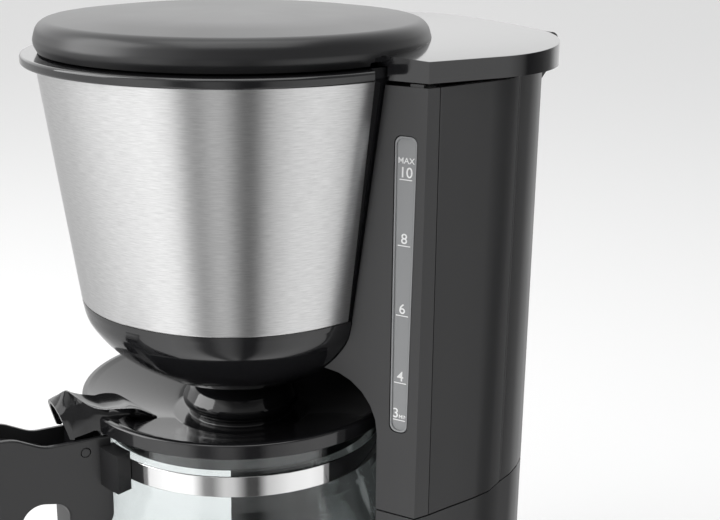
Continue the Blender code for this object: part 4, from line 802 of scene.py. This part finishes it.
LEVER_STATIONS = [
    # y, slant, half width and height of the upper edge, dip of the leaf, then four points down the side
    (
        -0.0853, 0.30, 0.0015, 0.1832, 0.0,
        (0.0045, 0.1826), (0.0076, 0.1806), (0.0093, 0.1775), (0.0100, 0.1695),
    ),
    (
        -0.0825, 0.20, 0.0010, 0.1852, 0.0,
        (0.0036, 0.1842), (0.0070, 0.1812), (0.0092, 0.1772), (0.0100, 0.1690),
    ),
    (
        -0.0790, 0.0, 0.0004, 0.1870, 0.0,
        (0.0026, 0.1854), (0.0062, 0.1818), (0.0090, 0.1770), (0.0100, 0.1698),
    ),
    (
        -0.0760, 0.0, 0.0030, 0.1848, 0.0005,
        (0.0044, 0.1836), (0.0070, 0.1806), (0.0092, 0.1768), (0.0100, 0.1703),
    ),
    (
        -0.0730, 0.0, 0.0063, 0.1825, 0.0011,
        (0.0072, 0.1812), (0.0086, 0.1788), (0.0097, 0.1758), (0.0101, 0.1709),
    ),
    (
        -0.0700, 0.0, 0.0084, 0.1807, 0.0016,
        (0.0092, 0.1794), (0.0097, 0.1775), (0.0100, 0.1750), (0.0102, 0.1714),
    ),
    (
        -0.0665, 0.0, 0.0090, 0.1795, 0.0020,
        (0.0100, 0.1783), (0.0103, 0.1766), (0.0104, 0.1740), (0.0104, 0.1690),
    ),
    (
        -0.0640, 0.0, 0.0090, 0.1789, 0.0020,
        (0.0102, 0.1776), (0.0106, 0.1764), (0.0106, 0.1740), (0.0106, 0.1703),
    ),
    (
        -0.0615, 0.0, 0.0095, 0.1789, 0.0020,
        (0.0107, 0.1776), (0.0110, 0.1766), (0.0110, 0.1754), (0.0108, 0.1736),
    ),
    (
        -0.0580, 0.0, 0.0098, 0.1785, 0.0018,
        (0.0110, 0.1772), (0.0113, 0.1766), (0.0114, 0.1762), (0.0112, 0.1754),
    ),
    (
        -0.0540, 0.0, 0.0090, 0.1775, 0.0014,
        (0.0102, 0.1762), (0.0105, 0.1756), (0.0105, 0.1752), (0.0102, 0.1742),
    ),
    (
        -0.0500, 0.0, 0.0054, 0.1751, 0.0008,
        (0.0064, 0.1739), (0.0067, 0.1734), (0.0067, 0.1730), (0.0065, 0.1716),
    ),
    (
        -0.0460, 0.0, 0.0028, 0.1723, 0.0004,
        (0.0036, 0.1712), (0.0038, 0.1708), (0.0038, 0.1704), (0.0036, 0.1690),
    ),
    (
        -0.0420, 0.0, 0.0012, 0.1695, 0.0001,
        (0.0017, 0.1688), (0.0019, 0.1685), (0.0019, 0.1682), (0.0018, 0.1674),
    ),
    (
        -0.0399, 0.0, 0.0002, 0.1680, 0.0,
        (0.0004, 0.1678), (0.0005, 0.1677), (0.0005, 0.1676), (0.0004, 0.1672),
    ),
]
LEVER_HOOD_STATIONS = 6  # the stations, from the front, that are hollow underneath
LEVER_WALL = 0.0018


def lever_section(station, wall=0.0, floor=None):
    """One closed section across the lever, drawn in by a wall; the floor replaces the height of its foot."""
    y, slant, half, edge, dip, *side = station
    right = [(x - wall, z - wall * 0.6) for x, z in side]
    if floor is not None:
        right[-1] = (right[-1][0], floor)
    across = [2 * i / 8 - 1 for i in range(9)]
    top = [
        (share * max(half - wall * 0.4, 0.0002), edge - wall - dip * (1 - share**2))
        for share in reversed(across)
    ]
    outline = [*reversed(right), *top, *[(-x, z) for x, z in right]]
    return [Vector((x, y + slant * (edge - z), z)) for x, z in outline]


def build_lever():
    """The thumb lever: a hollow hood at the front, whose ridge parts into a dished leaf that ends in a point."""
    columns = list(zip(*(lever_section(station) for station in LEVER_STATIONS)))
    shape = loft("lever", list(zip(*(spline(column, 3) for column in columns))))
    hood = [lever_section(station, LEVER_WALL, 0.1640) for station in LEVER_STATIONS[:LEVER_HOOD_STATIONS]]
    first = [p + Vector((0.0, -0.006, -0.0012)) for p in hood[0]]
    columns = list(zip(*[first, *hood]))
    room = loft("lever_room", list(zip(*(spline(column, 3) for column in columns))))
    combine(shape, "DIFFERENCE", room)
    eye_outline = [
        *arc(JUG_LID_PIN, LEVER_EYE_RADIUS, 180, 360, 16),
        Vector((-0.0690, 0.1785)),
        Vector((-0.0765, 0.1838)),
    ]
    combine(shape, "UNION", side_prism("eye", eye_outline, 0.0060))
    combine(shape, "DIFFERENCE", rod("bore", LID_PIN_BORE, (-0.02, *JUG_LID_PIN), (0.02, *JUG_LID_PIN)))
    polish(from_axis(shape), 0.0004, 50, 2)
    finish_piece(shape, "jug_lever_fine", "jug", "gloss_black")


def build_handle():
    outline = rounded(
        [
            (-0.0640, 0.1680, 0.0008), (-0.0640, 0.1310, 0.006), (-0.0735, 0.1170, 0.010),
            (-0.0735, 0.0740, 0.010), (-0.0860, 0.0560, 0.012), (-0.1100, 0.0580, 0.018),
            (-0.1280, 0.0900, 0.050), (-0.1280, 0.1490, 0.030), (-0.1190, 0.1752, 0.012),
            (-0.1040, 0.1740, 0.014), (-0.0920, 0.1680, 0.014),
        ],
        12,
    )
    handle = side_prism("handle", outline, 0.0105)
    grip = side_prism(
        "grip",
        rounded(
            [
                (-0.0830, 0.1410, 0.007), (-0.0830, 0.0860, 0.010), (-0.0900, 0.0730, 0.008),
                (-0.1090, 0.0820, 0.012), (-0.1020, 0.1450, 0.012),
            ],
            12,
        ),
        0.02,
    )
    combine(handle, "DIFFERENCE", grip)
    soft = handle.modifiers.new("soft", "BEVEL")
    soft.limit_method = "ANGLE"
    soft.angle_limit = math.radians(60)
    soft.width = 0.0040
    soft.segments = 6
    pocket = side_prism("pocket", rounded([
        (-0.0620, 0.1900), (-0.0620, 0.1560, 0.002), (-0.0840, 0.1560, 0.004), (-0.0890, 0.1620, 0.006),
        (-0.1080, 0.1690, 0.006), (-0.1120, 0.1900),
    ], 8), 0.0086)
    inner = 0.0615 + GAP + 0.0008 + GAP
    saddle = ring("saddle", inner, 0.0700, 0.1469, 0.1638, 180)
    wedge = math.radians(20.0)
    corner = Vector((0.090 * math.sin(wedge), -0.090 * math.cos(wedge)))
    combine(
        saddle,
        "INTERSECT",
        prism("sector", [Vector((0.0, -0.010)), Vector((-corner.x, corner.y)), corner], 0.10, 0.20),
    )
    grown = [Vector((p.x + GAP, p.y)) for p in glass_outline(6)]
    glass_room = turned("glass_room", [(0.0, grown[0].y - 0.01), *grown, (grown[-1].x, 0.2), (0.0, 0.2)], 144)
    tab_y = -(0.0615 + GAP)
    combine(handle, "UNION", saddle)
    combine(
        handle, "DIFFERENCE", glass_room, pocket,
        block("tab_room", (-0.0053, tab_y - 0.0103, 0.1507), (0.0053, tab_y + 0.0020, 0.1600)),
        rod("screw_bore", 0.0019, (0, tab_y - 0.0060, 0.1429), (0, tab_y - 0.0060, 0.1628)),
        rod("head_bore", 0.0034, (0, tab_y - 0.0060, 0.0309), (0, tab_y - 0.0060, 0.1452)),
        rod("pin_way", 0.0022, (-0.02, *JUG_LID_PIN), (0.02, *JUG_LID_PIN)),
    )
    polish(from_axis(handle), 0.0004, 34, 2)
    finish_piece(handle, "jug_handle_fine", "jug", "satin_black", stands_for=["jug_handle"])


# ---------------------------------------------------------------- the remaining nodes

LEFT_AS_MADE = {"valve_spring"}


def build_rest():
    """Every node that isn't remade gets a welded copy, or only its material where it is too fine for one."""
    for node_name, slot in SUBPARTS.items():
        node = frame["nodes"][node_name]
        if node_name in REMADE:
            node.data.materials.clear()
            node.data.materials.append(MATERIALS[slot])
        elif node_name in LEFT_AS_MADE:
            node.data.shade_smooth()
            node.data.materials.clear()
            node.data.materials.append(MATERIALS[slot])
        else:
            refined(node_name, 0.0002, 32, 2)


REMADE = {
    "lid_shell", "funnel_housing", "steel_wrap", "column_front", "tank_shell", "level_window", "jug_glass",
    "jug_lid", "jug_handle",
}

build_lid()
build_funnel()
build_column()
build_glass()
build_jug_lid()
build_lever()
build_handle()
build_rest()

# ---------------------------------------------------------------- studio


def build_camera():
    data = bpy.data.cameras.new("camera")
    data.lens = CAMERA_LENS
    data.sensor_width = CAMERA_SENSOR
    data.clip_start = 0.01
    camera = bpy.data.objects.new("camera", data)
    turn = Matrix.Rotation(math.radians(CAMERA_AZIMUTH), 4, "Z")
    tilt = Matrix.Rotation(math.radians(90 - CAMERA_DOWN), 4, "X")
    roll = Matrix.Rotation(math.radians(CAMERA_ROLL), 4, "Z")
    camera.matrix_world = Matrix.Translation(CAMERA_PLACE) @ turn @ tilt @ roll
    bpy.context.scene.collection.objects.link(camera)
    bpy.context.scene.camera = camera


def build_floor():
    build = bmesh.new()
    bmesh.ops.create_grid(build, x_segments=1, y_segments=1, size=4.0)
    floor = mesh_object("floor", build)
    material, _, _ = new_material("floor", (0.86, 0.86, 0.86), 0.7)
    floor.data.materials.append(material)
    floor.visible_glossy = False


def build_world():
    """A white studio: reflections see upright panels of light round the table with darker gaps between them."""
    world = bpy.data.worlds.new("studio")
    world.use_nodes = True
    bpy.context.scene.world = world
    tree = world.node_tree
    tree.nodes.clear()
    nodes = Nodes(tree)
    split = nodes.add(
        "ShaderNodeSeparateXYZ", {"Vector": nodes.add("ShaderNodeTexCoord").outputs["Generated"]}
    )
    angle = nodes.math("ARCTAN2", split.outputs["Y"], split.outputs["X"])
    # turned so that the direction of the camera is at the middle of the ramp
    towards_camera = math.radians(CAMERA_AZIMUTH - 90)
    turn = nodes.math("DIVIDE", nodes.math("SUBTRACT", angle, towards_camera), 2 * math.pi)
    share = nodes.math("FRACT", nodes.math("ADD", turn, 0.5))
    low = nodes.ramp(share, PANELS_LOW)
    high = nodes.ramp(share, PANELS_HIGH)
    upright = nodes.math("ADD", nodes.math("MULTIPLY", split.outputs["Z"], 0.5), 0.5)
    rise = nodes.ramp(upright, [(0.50, 0.0), (0.60, 1.0)])
    mix = nodes.add("ShaderNodeMix", {"Factor": rise}, data_type="RGBA")
    tree.links.new(low, mix.inputs["A"])
    tree.links.new(high, mix.inputs["B"])
    studio = nodes.add("ShaderNodeBackground", {"Color": mix.outputs["Result"], "Strength": STUDIO_STRENGTH})
    white = nodes.add("ShaderNodeBackground", {"Color": (1.0, 1.0, 1.0, 1.0), "Strength": 1.0})
    path = nodes.add("ShaderNodeLightPath")
    choose = nodes.add("ShaderNodeMixShader", {"Fac": path.outputs["Is Camera Ray"]})
    tree.links.new(studio.outputs[0], choose.inputs[1])
    tree.links.new(white.outputs[0], choose.inputs[2])
    out = nodes.add("ShaderNodeOutputWorld")
    tree.links.new(choose.outputs[0], out.inputs["Surface"])


# levels of the surroundings, from behind the machine round by its left to the camera (0.5) and on by the right
PANELS_LOW = [
    (0.00, 0.34), (0.06, 0.31), (0.10, 0.25), (0.14, 0.30), (0.20, 0.33), (0.28, 0.45), (0.36, 0.64),
    (0.405, 0.58), (0.43, 0.15), (0.448, 0.12), (0.475, 0.34), (0.495, 0.32), (0.525, 0.035), (0.548, 0.03),
    (0.57, 0.30), (0.62, 0.46), (0.67, 0.50), (0.71, 0.42), (0.745, 0.22), (0.765, 0.02), (0.81, 0.05),
    (0.86, 0.12), (0.90, 0.40), (1.00, 0.34),
]
PANELS_HIGH = [
    (0.00, 0.62), (0.12, 0.58), (0.22, 0.50), (0.40, 0.42), (0.46, 0.14), (0.60, 0.10), (0.75, 0.14),
    (0.88, 0.40), (1.00, 0.62),
]
STUDIO_STRENGTH = 2.2


def softbox(name, azimuth, elevation, distance, width, height, power):
    data = bpy.data.lights.new(name, "AREA")
    data.shape = "RECTANGLE"
    data.size, data.size_y = width, height
    data.energy = power
    lamp = bpy.data.objects.new(name, data)
    a, e = math.radians(azimuth), math.radians(elevation)
    out = Vector((math.cos(a) * math.cos(e), math.sin(a) * math.cos(e), math.sin(e)))
    lamp.location = out * distance + Vector((0, 0, 0.18))
    lamp.rotation_euler = out.to_track_quat("Z", "Y").to_euler()
    bpy.context.scene.collection.objects.link(lamp)
    return lamp


build_camera()
build_floor()
build_world()
softbox("left softbox", -110, 30, 1.4, 1.0, 1.2, 12)
softbox("top softbox", -20, 75, 1.4, 1.2, 1.2, 8)
bpy.context.scene.view_settings.view_transform = "Standard"
